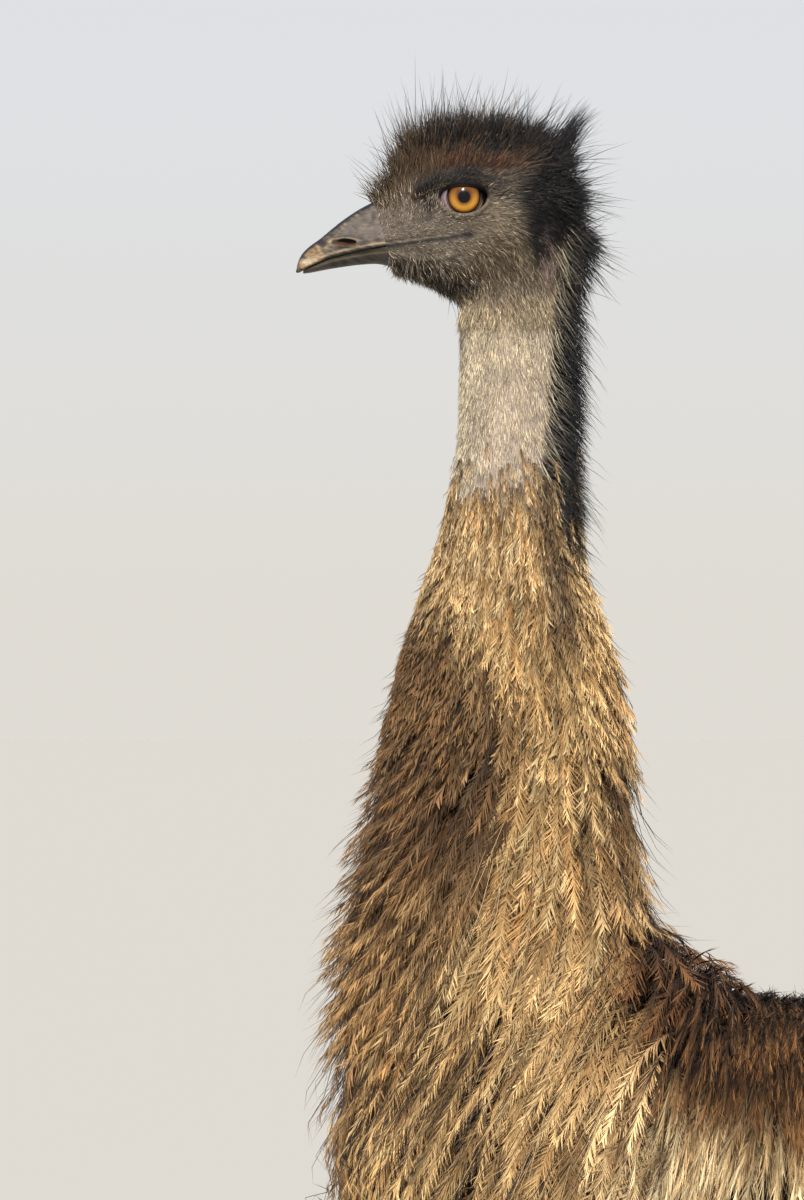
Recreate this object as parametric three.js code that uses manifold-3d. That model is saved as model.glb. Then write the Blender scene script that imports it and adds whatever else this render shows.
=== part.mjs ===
// A life-size standing emu, still, as a museum model. Millimetres, +Z up.
// The bird faces -X and its left side is -Y. The outer form is the outline of the plumage;
// the whole bird is lofted first and then parted into head, neck, trunk, tail, wings and legs by thin cuts.
import * as THREE from "three";
import { mergeVertices } from "three/addons/utils/BufferGeometryUtils.js";
import Module from "manifold-3d";

const wasm = await Module();
wasm.setup();

// ---------- driving dimensions ----------
const GAP = 0.4; // width of each parting cut
const CROWN_Z = 1690; // dense top of the crown feathers
const BACK_Z = 1101; // highest point of the back plumage
const EYE = { x: -327, z: 1627.7, y: 15.6, r: 14.6 }; // eyeball centre and radius
const NOSTRIL = { x: -408.5, z: 1598.6, long: 8.6, high: 2.5 };
const HOCK_Z = 408; // ankle joint height
const LEG = {
  left: { side: -1, footX: 22, footY: 92 },
  right: { side: 1, footX: 88, footY: 92 },
};
const TOE = {
  middle: { length: 128, angle: 0, r: 15.5 },
  inner: { length: 84, angle: 31, r: 12.5 },
  outer: { length: 80, angle: -34, r: 12.5 },
};
const CLAW_LENGTH = 27;

// head: x, top, bottom, half width (feather outline)
const HEAD = [
  [-402, 1612, 1598, 2],
  [-400, 1621, 1586, 12],
  [-390, 1640, 1584, 20],
  [-377, 1660, 1583, 24.5],
  [-364, 1672, 1579, 27.5],
  [-350, 1679, 1570, 30],
  [-337, 1684, 1559, 32],
  [-320, 1689, 1549, 35],
  [-303, CROWN_Z, 1542, 37.5],
  [-286, 1688, 1539, 38],
  [-272, 1679, 1539, 37],
  [-258, 1660, 1543, 33],
  [-247, 1634, 1552, 24],
  [-240, 1608, 1566, 14],
  [-237, 1590, 1580, 2],
];
// upper bill: x, culmen, cutting edge, half width
const UPPER_BILL = [
  [-440.8, 1581.5, 1580, 0.8],
  [-439.4, 1586.4, 1577.9, 2.8],
  [-436.6, 1591.0, 1578.2, 4.8],
  [-431.8, 1595.4, 1580.1, 6.8],
  [-425.0, 1600.5, 1583.4, 8.8],
  [-411.4, 1612.0, 1588.9, 12.2],
  [-397.8, 1620.9, 1592.7, 15.4],
  [-384, 1627.5, 1595.2, 19],
  [-372, 1634, 1597, 21],
];
// lower bill: x, cutting edge, underside, half width
const LOWER_BILL = [
  [-436.4, 1578.6, 1577.6, 0.8],
  [-433.6, 1578.7, 1576.9, 3.0],
  [-428.4, 1581.2, 1577.6, 5.2],
  [-418.2, 1585.8, 1579.7, 8.6],
  [-404.6, 1590.2, 1581.9, 12.0],
  [-391.0, 1593.2, 1583.2, 15.0],
  [-378, 1595, 1583.6, 18],
];
// neck: z, front, back, half width (feather outline)
const NECK = [
  [1600, -318, -262, 20],
  [1559, -333, -235, 33],
  [1491, -333, -237, 32],
  [1423, -339, -245, 36],
  [1389, -347, -244, 42],
  [1355, -358, -235, 51],
  [1321, -368, -224, 61],
  [1253, -384, -210, 77],
  [1185, -398, -205, 89],
  [1117, -411, -190, 103],
  [1042, -418, -160, 119],
  [980, -414, -150, 128],
  [940, -380, -190, 90],
  [925, -330, -240, 30],
];
// trunk and tail: x, back, belly, half width (feather outline)
const TRUNK = [
  [-413, 965, 955, 5],
  [-408, 1018, 904, 48],
  [-384, 1076, 832, 97],
  [-357, 1093, 794, 120],
  [-316, 1110, 752, 142],
  [-262, 1131, 709, 162],
  [-207, 1144, 677, 178],
  [-167, 1119, 655, 190],
  [-129, 1090, 638, 200],
  [-90, 1083, 623, 208],
  [-31, 1091, 606, 219],
  [37, BACK_Z, 595, 227],
  [105, 1099, 590, 228],
  [173, 1090, 590, 220],
  [241, 1069, 593, 204],
  [309, 1033, 599, 180],
  [377, 973, 610, 150],
  [440, 884, 628, 110],
  [486, 792, 654, 66],
  [504, 728, 692, 12],
];
// feathered thigh (drumstick) at the foot's own x and y: height, forward, rearward, outward, inward
const THIGH = [
  [800, -116, 84, 66, 55],
  [730, -124, 94, 84, 60],
  [665, -114, 98, 84, 60],
  [605, -90, 92, 75, 55],
  [548, -60, 80, 59, 47],
  [498, -32, 63, 42, 36],
  [464, -12, 50, 30, 28],
  [440, 0, 41, 24, 24],
  [428, 14, 26, 10, 10],
];
// bare shank (tarsometatarsus): height, forward, rearward, half width
const SHANK = [
  [452, 10, 30, 10],
  [440, 0, 36, 19],
  [HOCK_Z + 12, -6, 40, 24],
  [HOCK_Z - 6, -7, 40, 25],
  [HOCK_Z - 34, -5, 33, 20],
  [330, -8, 25, 16],
  [200, -13, 19, 15],
  [100, -17, 16, 17],
  [70, -19, 15, 20],
  [50, -14, 10, 18],
];
// foot: height, forward, rearward, half width
const FOOT = [
  [82, -14, 12, 14],
  [70, -19, 15, 20],
  [48, -25, 20, 23],
  [24, -32, 27, 27],
  [8, -32, 28, 27],
  [-8, -22, 18, 18],
];

// ---------- small tools ----------
// Fritsch-Carlson monotone cubic through rows whose first column is the parameter.
function curve(rows) {
  const s = rows[0][0] > rows[rows.length - 1][0] ? [...rows].reverse() : rows;
  const n = s.length;
  const cols = s[0].length - 1;
  const m = Array.from({ length: cols }, () => new Array(n).fill(0));
  for (let c = 0; c < cols; c++) {
    const d = [];
    for (let i = 0; i < n - 1; i++)
      d.push((s[i + 1][c + 1] - s[i][c + 1]) / (s[i + 1][0] - s[i][0]));
    for (let i = 1; i < n - 1; i++)
      m[c][i] = d[i - 1] * d[i] <= 0 ? 0 : (2 * d[i - 1] * d[i]) / (d[i - 1] + d[i]);
    m[c][0] = d[0];
    m[c][n - 1] = d[n - 2];
  }
  return (x) => {
    let i = 0;
    while (i < n - 2 && x > s[i + 1][0]) i++;
    const h = s[i + 1][0] - s[i][0];
    const t = Math.min(1, Math.max(0, (x - s[i][0]) / h));
    const a = (1 + 2 * t) * (1 - t) ** 2;
    const b = t * (1 - t) ** 2;
    const e = t * t * (3 - 2 * t);
    const f = t * t * (t - 1);
    return m.map(
      (k, c) => a * s[i][c + 1] + b * h * k[i] + e * s[i + 1][c + 1] + f * h * k[i + 1],
    );
  };
}
const power = (v, n) => Math.sign(v) * Math.abs(v) ** (2 / n);

// A unit sphere's grid bent by place(t, angle): t runs 0..1 from pole to pole.
function warped(around, along, place) {
  const g = new THREE.SphereGeometry(1, around, along);
  const uv = g.getAttribute("uv");
  const pos = g.getAttribute("position");
  for (let i = 0; i < pos.count; i++) {
    const t = 1 - uv.getY(i);
    const pole = t < 1e-6 || t > 1 - 1e-6;
    const a = pole ? 0 : (uv.getX(i) % 1) * 2 * Math.PI;
    const p = place(Math.min(1, Math.max(0, t)), a, pole);
    pos.setXYZ(i, p.x, p.y, p.z);
  }
  return g;
}
function solid(geometry) {
  const g = geometry.clone();
  g.deleteAttribute("normal");
  g.deleteAttribute("uv");
  const w = mergeVertices(g, 1e-3);
  const tri = new Uint32Array(w.index.array);
  const make = () =>
    new wasm.Manifold(
      new wasm.Mesh({ numProp: 3, vertProperties: w.attributes.position.array, triVerts: tri }),
    );
  let m = make();
  if (m.volume() < 0) {
    for (let i = 0; i < tri.length; i += 3) [tri[i + 1], tri[i + 2]] = [tri[i + 2], tri[i + 1]];
    m = make();
  }
  return m;
}
// Rings across X: rows of x, top, bottom, half width; belly and back set how full each half is.
function alongX(rows, around, along, back = 2, belly = 2.1, waist = 0.45, ease = 0.5) {
  const at = curve(rows);
  const x0 = rows[0][0];
  const x1 = rows[rows.length - 1][0];
  return solid(
    warped(around, along, (t, a, pole) => {
      const s = (1 - ease) * t + ease * (1 - Math.cos(Math.PI * t)) * 0.5;
      const x = x0 + (x1 - x0) * s;
      const [top, bottom, half] = at(x);
      const mid = bottom + (top - bottom) * waist;
      if (pole) return new THREE.Vector3(x, 0, mid);
      const up = Math.sin(a) >= 0;
      const n = up ? back : belly;
      const z = mid + power(Math.sin(a), n) * (up ? top - mid : mid - bottom);
      return new THREE.Vector3(x, half * power(Math.cos(a), n), z);
    }),
  );
}
// Rings across Z: rows of z, front, rear, half width (outer, inner may differ on a leg).
function alongZ(rows, around, along, n = 2.1, cx = 0, cy = 0, side = 1, ease = 0.5) {
  const at = curve(rows);
  const z0 = rows[0][0];
  const z1 = rows[rows.length - 1][0];
  return solid(
    warped(around, along, (t, a, pole) => {
      const s = (1 - ease) * t + ease * (1 - Math.cos(Math.PI * t)) * 0.5;
      const z = z0 + (z1 - z0) * s;
      const [front, rear, outer, inner = outer] = at(z);
      const mid = (front + rear) / 2;
      if (pole) return new THREE.Vector3(cx + mid, cy, z);
      const c = power(Math.cos(a), n);
      const d = power(Math.sin(a), n);
      return new THREE.Vector3(cx + mid + ((rear - front) / 2) * c, cy + side * (d > 0 ? outer : inner) * d, z);
    }),
  );
}
const ball = (cx, cy, cz, rx, ry, rz, around = 14, along = 10) =>
  solid(
    new THREE.SphereGeometry(1, around, along).scale(rx, ry, rz).rotateX(Math.PI / 2).translate(cx, cy, cz),
  );
const block = (x0, x1, y0, y1, z0, z1) =>
  solid(
    new THREE.BoxGeometry(x1 - x0, y1 - y0, z1 - z0).translate((x0 + x1) / 2, (y0 + y1) / 2, (z0 + z1) / 2),
  );
// Keeps the side that the normal points to of a plane through point, less half a gap.
function keep(m, point, normal) {
  const n = new THREE.Vector3(...normal).normalize();
  return m.trimByPlane([n.x, n.y, n.z], n.dot(new THREE.Vector3(...point)) + GAP / 2);
}
const other = (n) => n.map((v) => -v);
const largest = (m) => m.decompose().sort((a, b) => b.volume() - a.volume())[0];

// ---------- the whole bird ----------
const trunkLoft = alongX(TRUNK, 26, 22, 1.85, 2.1, 0.4, 0.35);
const neckLoft = alongZ(NECK, 20, 18, 2.15, 0, 0, 1, 0.2);
const headLoft = alongX(HEAD, 20, 16, 2.1, 2.0, 0.5, 0.45);
let whole = trunkLoft.add(neckLoft).add(headLoft);

const parts = {};

// ---------- legs ----------
for (const [name, { side, footX, footY }] of Object.entries(LEG)) {
  const cy = side * footY;
  const thigh = alongZ(THIGH, 14, 9, 2, footX, cy, side, 0.2);
  whole = whole.add(thigh);
}
const THIGH_TOP = 636;
for (const [name, { side, footX, footY }] of Object.entries(LEG)) {
  const cy = side * footY;
  const zone = (grow) =>
    solid(
      new THREE.CylinderGeometry(1, 1, THIGH_TOP - 300 + grow, 20)
        .rotateX(Math.PI / 2)
        .scale(118 + grow, 90 + grow, 1)
        .translate(footX - 4, cy + side * 14, (THIGH_TOP + 300 + grow) / 2),
    );
  let thigh = largest(whole.intersect(zone(0)));
  whole = largest(whole.subtract(zone(GAP)));

  let shank = alongZ(SHANK, 12, 11, 2.2, footX, cy, side, 0.25);
  // the shank ends inside the feathering, so the thigh is cut back round it
  const hockCut = 436;
  thigh = keep(thigh, [0, 0, hockCut], [0, 0, 1]);
  shank = keep(shank, [0, 0, hockCut], [0, 0, -1]);
  shank = keep(shank, [0, 0, 66], [0, 0, 1]);
  parts[`thigh_${name}`] = largest(thigh);
  parts[`shank_${name}`] = largest(shank);

  // foot pad under the shank, flat on the floor
  let foot = alongZ(FOOT, 14, 8, 2.2, footX, cy, side, 0.2);
  foot = keep(foot, [0, 0, 0 - GAP / 2], [0, 0, 1]);
  foot = keep(foot, [0, 0, 66], [0, 0, -1]);

  for (const [toe, { length, angle, r }] of Object.entries(TOE)) {
    // inner toes point towards the body's midline; the bird faces -X
    const turn = THREE.MathUtils.degToRad(angle) * side;
    const place = (m) =>
      m.transform(
        new THREE.Matrix4()
          .makeTranslation(footX, cy, 0)
          .multiply(new THREE.Matrix4().makeRotationZ(Math.PI + turn))
          .toArray(),
      );
    const knuckles = toe === "middle" ? 3 : 2;
    const loft = solid(
      warped(10, 9, (t, a, pole) => {
        const x = 8 + (length + 6) * t;
        const bulge = 1 + 0.07 * Math.cos(2 * Math.PI * knuckles * t);
        const taper = (1 - 0.42 * t) * Math.sqrt(Math.max(0, 1 - (2 * t - 1) ** 8));
        const k = pole ? 0 : r * bulge * taper;
        const rise = r * (0.92 - 0.3 * t);
        return new THREE.Vector3(x, k * Math.cos(a), rise + k * Math.sin(a) * (Math.sin(a) > 0 ? 1.12 - 0.2 * t : 1.0));
      }),
    );
    let body = keep(place(loft), [0, 0, -GAP / 2], [0, 0, 1]);
    const clawRoot = length - 4;
    const claw = solid(
      warped(8, 6, (t, a, pole) => {
        const s = t * CLAW_LENGTH + clawRoot - 6;
        const k = pole ? 0 : (toe === "middle" ? 7.4 : 6.4) * Math.sqrt(Math.max(0, t + 0.08)) * (1 - t) ** 0.62 * 1.75;
        const z = r * 0.64 + 1.5 - t * t * (r * 0.64 - 3.2);
        return new THREE.Vector3(s, k * 0.72 * Math.cos(a), z + k * 0.8 * Math.sin(a));
      }),
    );
    const clawFlat = keep(place(claw), [0, 0, -GAP / 2], [0, 0, 1]);
    const c = Math.cos(Math.PI + turn);
    const s = Math.sin(Math.PI + turn);
    const cut = [footX + c * clawRoot, cy + s * clawRoot, 0];
    parts[`toe_${toe}_${name}`] = largest(keep(body, cut, [-c, -s, 0]));
    parts[`claw_${toe}_${name}`] = largest(keep(clawFlat, cut, [c, s, 0]));
    // the toes meet the pad on upright cuts
    const rootCut = [footX + c * 25, cy + s * 25, 0];
    parts[`toe_${toe}_${name}`] = largest(keep(parts[`toe_${toe}_${name}`], rootCut, [c, s, 0]));
    foot = keep(foot, rootCut, [-c, -s, 0]);
  }
  parts[`foot_${name}`] = largest(foot);
}
// neighbouring toes are parted from each other along the lines between them
for (const [name, { side, footX, footY }] of Object.entries(LEG)) {
  for (const [toe, sign] of [["inner", 1], ["outer", -1]]) {
    const mid = Math.PI + THREE.MathUtils.degToRad(TOE[toe].angle / 2) * side;
    const n = [-Math.sin(mid) * sign * side, Math.cos(mid) * sign * side, 0];
    const at = [footX, side * footY, 0];
    parts[`toe_${toe}_${name}`] = largest(keep(parts[`toe_${toe}_${name}`], at, n));
    parts[`toe_middle_${name}`] = largest(keep(parts[`toe_middle_${name}`], at, other(n)));
  }
}

// ---------- wings: small, folded flat against the side under the plumage ----------
for (const [name, side] of [["left", -1], ["right", 1]]) {
  const shape = (grow) =>
    solid(
      new THREE.SphereGeometry(1, 14, 8)
        .scale(118 + grow, 30 + grow, 46 + grow)
        .rotateY(THREE.MathUtils.degToRad(24))
        .rotateZ(THREE.MathUtils.degToRad(side * 11))
        .translate(-118, side * 186, 880),
    );
  parts[`wing_${name}`] = largest(whole.intersect(shape(0)));
  whole = largest(whole.subtract(shape(GAP)));
}

// ---------- bill, eyes and head ----------
let upper = alongX(UPPER_BILL, 14, 14, 1.9, 3.2, 0.3, 0.3);
let lower = alongX(LOWER_BILL, 12, 10, 3.0, 2.0, 0.72, 0.3);
lower = lower.subtract(alongX(UPPER_BILL.map(([x, t, b, w]) => [x - 0.2, t + 1, b - GAP, w + 0.6]), 14, 14, 1.9, 3.2, 0.3, 0.3));
for (const side of [-1, 1])
  upper = upper.subtract(
    solid(
      new THREE.SphereGeometry(1, 10, 8)
        .scale(NOSTRIL.long, 4.5, NOSTRIL.high)
        .rotateY(THREE.MathUtils.degToRad(2))
        .translate(NOSTRIL.x, side * 13.2, NOSTRIL.z),
    ),
  );
const BILL_CUT = [-385, 0, 1612];
const BILL_N = [-1, 0, -0.28]; // the horn's rear edge leans back towards the brow
upper = largest(keep(upper, BILL_CUT, BILL_N));
lower = largest(keep(lower, BILL_CUT, BILL_N));
let head = whole.subtract(block(-460, -330, -60, 60, 1500, 1720).trimByPlane(
  new THREE.Vector3(...BILL_N).normalize().toArray(),
  new THREE.Vector3(...BILL_N).normalize().dot(new THREE.Vector3(...BILL_CUT)) - GAP / 2,
));
parts.bill_upper = upper;
parts.bill_lower = lower;

for (const [name, side] of [["left", -1], ["right", 1]]) {
  const y = side * EYE.y;
  parts[`eye_${name}`] = solid(
    new THREE.SphereGeometry(EYE.r, 12, 8).rotateX((side * Math.PI) / 2).translate(EYE.x, y, EYE.z),
  );
  head = head.subtract(
    solid(new THREE.SphereGeometry(EYE.r + GAP, 12, 8).rotateX((side * Math.PI) / 2).translate(EYE.x, y, EYE.z)),
  );
  // open space in front of the lids
  head = head.subtract(
    solid(new THREE.SphereGeometry(1, 12, 6).scale(16.5, 12.5, 11.5).translate(EYE.x + 0.5, side * 36, EYE.z + 1)),
  );
}

// ---------- parting cuts along the neck and tail ----------
const HEAD_CUT = [-285, 0, 1572];
const HEAD_N = [-0.3, 0, 1];
const NECK_CUT = [0, 0, 1392];
const BREAST_CUT = [-300, 0, 1112];
const BREAST_N = [-0.32, 0, 1];
const TAIL_CUT = [332, 0, 900];
const TAIL_N = [1, 0, 0.35];
const body = largest(head);
parts.head = largest(keep(body, HEAD_CUT, HEAD_N));
const belowHead = keep(body, HEAD_CUT, other(HEAD_N));
parts.neck_upper = largest(keep(belowHead, NECK_CUT, [0, 0, 1]));
const belowNeck = keep(belowHead, NECK_CUT, [0, 0, -1]);
parts.neck_lower = largest(keep(belowNeck, BREAST_CUT, BREAST_N));
const below = keep(belowNeck, BREAST_CUT, other(BREAST_N));
parts.trunk = largest(keep(below, TAIL_CUT, other(TAIL_N)));
parts.tail = largest(keep(below, TAIL_CUT, TAIL_N));

// ---------- looks and scene graph ----------
const look = (color, roughness, metalness = 0) => new THREE.MeshStandardMaterial({ color, roughness, metalness });
const LOOKS = {
  bill: look(0x2b2723, 0.38),
  eye: look(0xc47a16, 0.08),
  head: look(0x3a2f26, 0.8),
  neck_upper: look(0xa89678, 0.85),
  neck_lower: look(0x7d6242, 0.9),
  trunk: look(0x75603f, 0.92),
  tail: look(0x5d4a34, 0.92),
  wing: look(0x6d563a, 0.92),
  thigh: look(0x6b5740, 0.92),
  shank: look(0x4c453f, 0.6),
  foot: look(0x463f39, 0.6),
  toe: look(0x4a433c, 0.6),
  claw: look(0x1f1b18, 0.35),
};
const lookOf = (name) => LOOKS[name] ?? LOOKS[name.split("_")[0]];

const SHIFT_X = -31.6; // brings the middle of the bird's outline over the origin
const group = new THREE.Group();
for (const [name, m] of Object.entries(parts)) {
  const made = m.getMesh();
  const v = new Float32Array(made.numVert * 3);
  for (let i = 0; i < made.numVert; i++)
    v.set(made.vertProperties.subarray(i * made.numProp, i * made.numProp + 3), i * 3);
  const g = new THREE.BufferGeometry()
    .setAttribute("position", new THREE.BufferAttribute(v, 3))
    .setIndex(new THREE.BufferAttribute(new Uint32Array(made.triVerts), 1));
  g.computeVertexNormals();
  const mesh = new THREE.Mesh(g, lookOf(name));
  mesh.name = name;
  group.add(mesh);
}
group.position.x = SHIFT_X;

export default group;
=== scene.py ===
"""An emu standing still, life size: one skin over the whole body, with horn, eyes, claws and scales, and a coat of hair and loose double feathers over it.
Metres, +Z up, the bird faces -X. Tables of shape are in millimetres."""

import math

import bpy
import numpy as np
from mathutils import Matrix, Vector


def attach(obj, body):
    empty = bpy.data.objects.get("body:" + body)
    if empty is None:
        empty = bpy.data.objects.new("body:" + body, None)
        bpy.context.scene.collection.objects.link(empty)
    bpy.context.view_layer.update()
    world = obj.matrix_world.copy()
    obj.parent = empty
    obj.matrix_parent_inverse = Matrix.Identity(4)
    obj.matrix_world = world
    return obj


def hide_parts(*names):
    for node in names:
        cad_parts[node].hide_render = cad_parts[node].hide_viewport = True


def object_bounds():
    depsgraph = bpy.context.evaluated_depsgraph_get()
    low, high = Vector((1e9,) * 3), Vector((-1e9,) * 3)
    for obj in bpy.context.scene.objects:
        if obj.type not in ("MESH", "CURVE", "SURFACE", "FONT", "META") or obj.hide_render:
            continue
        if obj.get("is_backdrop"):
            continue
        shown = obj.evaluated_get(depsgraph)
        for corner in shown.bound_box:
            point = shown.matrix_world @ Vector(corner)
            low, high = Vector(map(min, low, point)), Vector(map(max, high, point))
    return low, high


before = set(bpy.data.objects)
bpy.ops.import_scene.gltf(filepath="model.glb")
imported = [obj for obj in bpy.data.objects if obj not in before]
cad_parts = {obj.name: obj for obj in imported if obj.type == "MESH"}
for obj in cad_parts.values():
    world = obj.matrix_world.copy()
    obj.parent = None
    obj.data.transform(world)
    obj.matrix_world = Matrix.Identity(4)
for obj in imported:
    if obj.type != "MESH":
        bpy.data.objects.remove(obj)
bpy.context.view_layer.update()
scene = bpy.context.scene

MM = 0.001
SHIFT = -31.6  # from the tables' x to the part's x
PX = 0.68  # millimetres to a pixel of an 804 x 1200 view of the head and neck


def px(u, v):
    """A point of the side view as table x and z in millimetres."""
    return PX * u - 642.6, 1763 - PX * v


# ---------------------------------------------------------------- camera, floor and light

camera_data = bpy.data.cameras.new("camera")
camera_data.lens = 300
camera_data.sensor_width = 36
camera_data.clip_end = 200
camera = bpy.data.objects.new("camera", camera_data)
camera.location = (-0.4008, -6.8, 1.355)
camera.rotation_euler = (math.radians(90), 0, 0)
scene.collection.objects.link(camera)
scene.camera = camera


# ---------------------------------------------------------------- numbers


def curve(rows):
    """A smooth curve through rows of (place, value, ...) that doesn't overshoot: place -> values."""
    rows = np.array(sorted([list(map(float, r)) for r in rows]))
    x, y = rows[:, 0], rows[:, 1:]
    h = np.diff(x)[:, None]
    d = np.diff(y, axis=0) / h
    m = np.zeros_like(y)
    m[0], m[-1] = d[0], d[-1]
    if len(x) > 2:
        w1, w2 = 2 * h[1:] + h[:-1], h[1:] + 2 * h[:-1]
        same = d[:-1] * d[1:] > 0
        safe0, safe1 = np.where(same, d[:-1], 1), np.where(same, d[1:], 1)
        m[1:-1] = np.where(same, (w1 + w2) / (w1 / safe0 + w2 / safe1), 0)

    def at(t):
        t = np.clip(np.asarray(t, float), x[0], x[-1])
        i = np.clip(np.searchsorted(x, t, side="right") - 1, 0, len(x) - 2)
        s = ((t - x[i]) / h[i, 0])[..., None]
        hh = h[i]
        return (
            y[i] * (2 * s**3 - 3 * s**2 + 1)
            + m[i] * hh * (s**3 - 2 * s**2 + s)
            + y[i + 1] * (3 * s**2 - 2 * s**3)
            + m[i + 1] * hh * (s**3 - s**2)
        )

    return at


def step(a, b, x):
    """0 before a, 1 after b, smooth between."""
    t = np.clip((x - a) / (b - a), 0, 1)
    return t * t * (3 - 2 * t)


def soft_min(a, b, k):
    h = np.clip(0.5 + 0.5 * (b - a) / k, 0, 1)
    return b * (1 - h) + a * h - k * h * (1 - h)


def unit(v):
    return v / np.maximum(np.linalg.norm(v, axis=-1, keepdims=True), 1e-9)


def dot(a, b):
    return np.sum(a * b, axis=-1, keepdims=True)


def hashed(i, seed):
    """A repeatable number from 0 to 1 for each whole number."""
    i = np.asarray(i, np.int64)
    h = (i * 374761393 + seed * 668265263) & 0x7FFFFFFF
    h = ((h ^ (h >> 13)) * 1274126177) & 0x7FFFFFFF
    h = h ^ (h >> 16)
    return (h & 0xFFFFF) / float(0x100000)


def noise3(p, size, seed):
    """Smooth noise from -1 to 1 at points p, with features of about size."""
    q = np.asarray(p, float) / size
    base = np.floor(q).astype(np.int64)
    f = q - base
    f = f * f * (3 - 2 * f)
    total = 0.0
    for dx in (0, 1):
        for dy in (0, 1):
            for dz in (0, 1):
                c = (
                    (base[..., 0] + dx) * 73856093
                    ^ (base[..., 1] + dy) * 19349663
                    ^ (base[..., 2] + dz) * 83492791
                )
                w = (
                    (f[..., 0] if dx else 1 - f[..., 0])
                    * (f[..., 1] if dy else 1 - f[..., 1])
                    * (f[..., 2] if dz else 1 - f[..., 2])
                )
                total = total + w * hashed(c, seed)
    return total * 2 - 1


def rgb(r, g, b):
    """Linear colour from ordinary 0 to 255 numbers."""
    c = np.array([r, g, b], float) / 255
    return np.where(c <= 0.04045, c / 12.92, ((c + 0.055) / 1.055) ** 2.4)


def mix(a, b, t):
    t = np.asarray(t)[..., None] if np.ndim(t) else t
    return a * (1 - t) + b * t


# ---------------------------------------------------------------- the body as distance fields, in the tables' millimetres

# skull, face and closed bill in one: x, top, bottom, half width, narrowing upwards, fullness
HEAD = curve([
    (-441.2, 1579.0, 1577.6, 0.3, 0.2, 2.0),
    (-440.0, 1584.6, 1576.7, 2.4, 0.3, 2.0),
    (-437.2, 1590.2, 1576.8, 4.6, 0.38, 2.0),
    (-431.8, 1595.6, 1577.4, 6.8, 0.42, 2.0),
    (-425.0, 1600.5, 1578.7, 8.4, 0.46, 2.0),
    (-418.2, 1606.2, 1580.0, 9.8, 0.50, 1.95),
    (-411.4, 1611.7, 1581.1, 11.3, 0.52, 1.9),
    (-404.6, 1616.6, 1582.1, 12.9, 0.52, 1.9),
    (-397.8, 1620.9, 1582.9, 14.5, 0.50, 1.9),
    (-387.6, 1626.3, 1583.5, 16.4, 0.46, 1.95),
    (-380.8, 1630.0, 1582.6, 17.8, 0.42, 2.0),
    (-374.0, 1636.0, 1580.4, 19.4, 0.38, 2.0),
    (-367.2, 1644.4, 1578.2, 21.2, 0.34, 2.05),
    (-360.4, 1651.8, 1575.6, 23.2, 0.28, 2.1),
    (-350.2, 1659.6, 1571.9, 26.0, 0.22, 2.15),
    (-340.0, 1664.0, 1567.8, 28.4, 0.16, 2.2),
    (-329.8, 1666.2, 1563.1, 30.0, 0.12, 2.25),
    (-316.2, 1666.9, 1559.0, 31.4, 0.10, 2.25),
    (-302.6, 1666.2, 1556.5, 32.0, 0.08, 2.2),
    (-289.0, 1663.0, 1557.0, 31.0, 0.06, 2.15),
    (-275.4, 1655.4, 1560.0, 27.6, 0.04, 2.1),
    (-265.2, 1643.0, 1566.0, 21.5, 0.0, 2.0),
    (-259.8, 1629.0, 1576.0, 14.5, 0.0, 2.0),
    (-256.4, 1610.0, 1589.0, 6.5, 0.0, 2.0),
    (-255.0, 1601.0, 1597.0, 1.0, 0.0, 2.0),
])

# neck under its coat: z, front, back, half width
NECK = curve([
    (1625, -306, -272, 10),
    (1608, -315, -266, 20),
    (1590, -322, -263.5, 25.5),
    (1559, -328, -262.5, 28.5),
    (1523, -328.5, -263, 28),
    (1477, -329.8, -264, 28.5),
    (1423, -334.6, -264, 30),
    (1389, -339, -262, 32),
    (1355, -343, -259, 35),
    (1321, -347, -255, 38),
    (1253, -353, -249, 43),
    (1185, -361, -243, 50),
    (1117, -370, -230, 62),
    (1042, -376, -205, 78),
    (980, -372, -190, 90),
    (930, -350, -210, 80),
    (905, -320, -240, 40),
])

# trunk under its coat: x, back, belly, half width
TRUNK = curve([
    (-378, 950, 940, 6),
    (-372, 1002, 892, 42),
    (-352, 1040, 850, 75),
    (-316, 1068, 805, 98),
    (-262, 1088, 762, 118),
    (-207, 1096, 728, 134),
    (-167, 1080, 704, 146),
    (-129, 1058, 684, 156),
    (-90, 1050, 668, 163),
    (-31, 1057, 652, 172),
    (37, 1066, 643, 178),
    (105, 1063, 640, 178),
    (173, 1052, 642, 170),
    (241, 1030, 652, 154),
    (309, 990, 675, 128),
    (360, 940, 705, 96),
    (400, 880, 745, 58),
    (418, 832, 785, 14),
])

# thigh and drumstick under their coat, about (foot x, +-92): z, forward, rearward, outward, inward
THIGH = curve([
    (830, -60, 40, 25, 25),
    (800, -85, 60, 42, 42),
    (730, -92, 66, 55, 48),
    (665, -84, 68, 56, 46),
    (605, -62, 64, 50, 40),
    (548, -38, 56, 38, 32),
    (498, -20, 48, 27, 25),
    (464, -9, 42, 21.5, 20.5),
    (440, -5, 40, 21, 20),
    (428, -4, 39, 21, 20),
])

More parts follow.
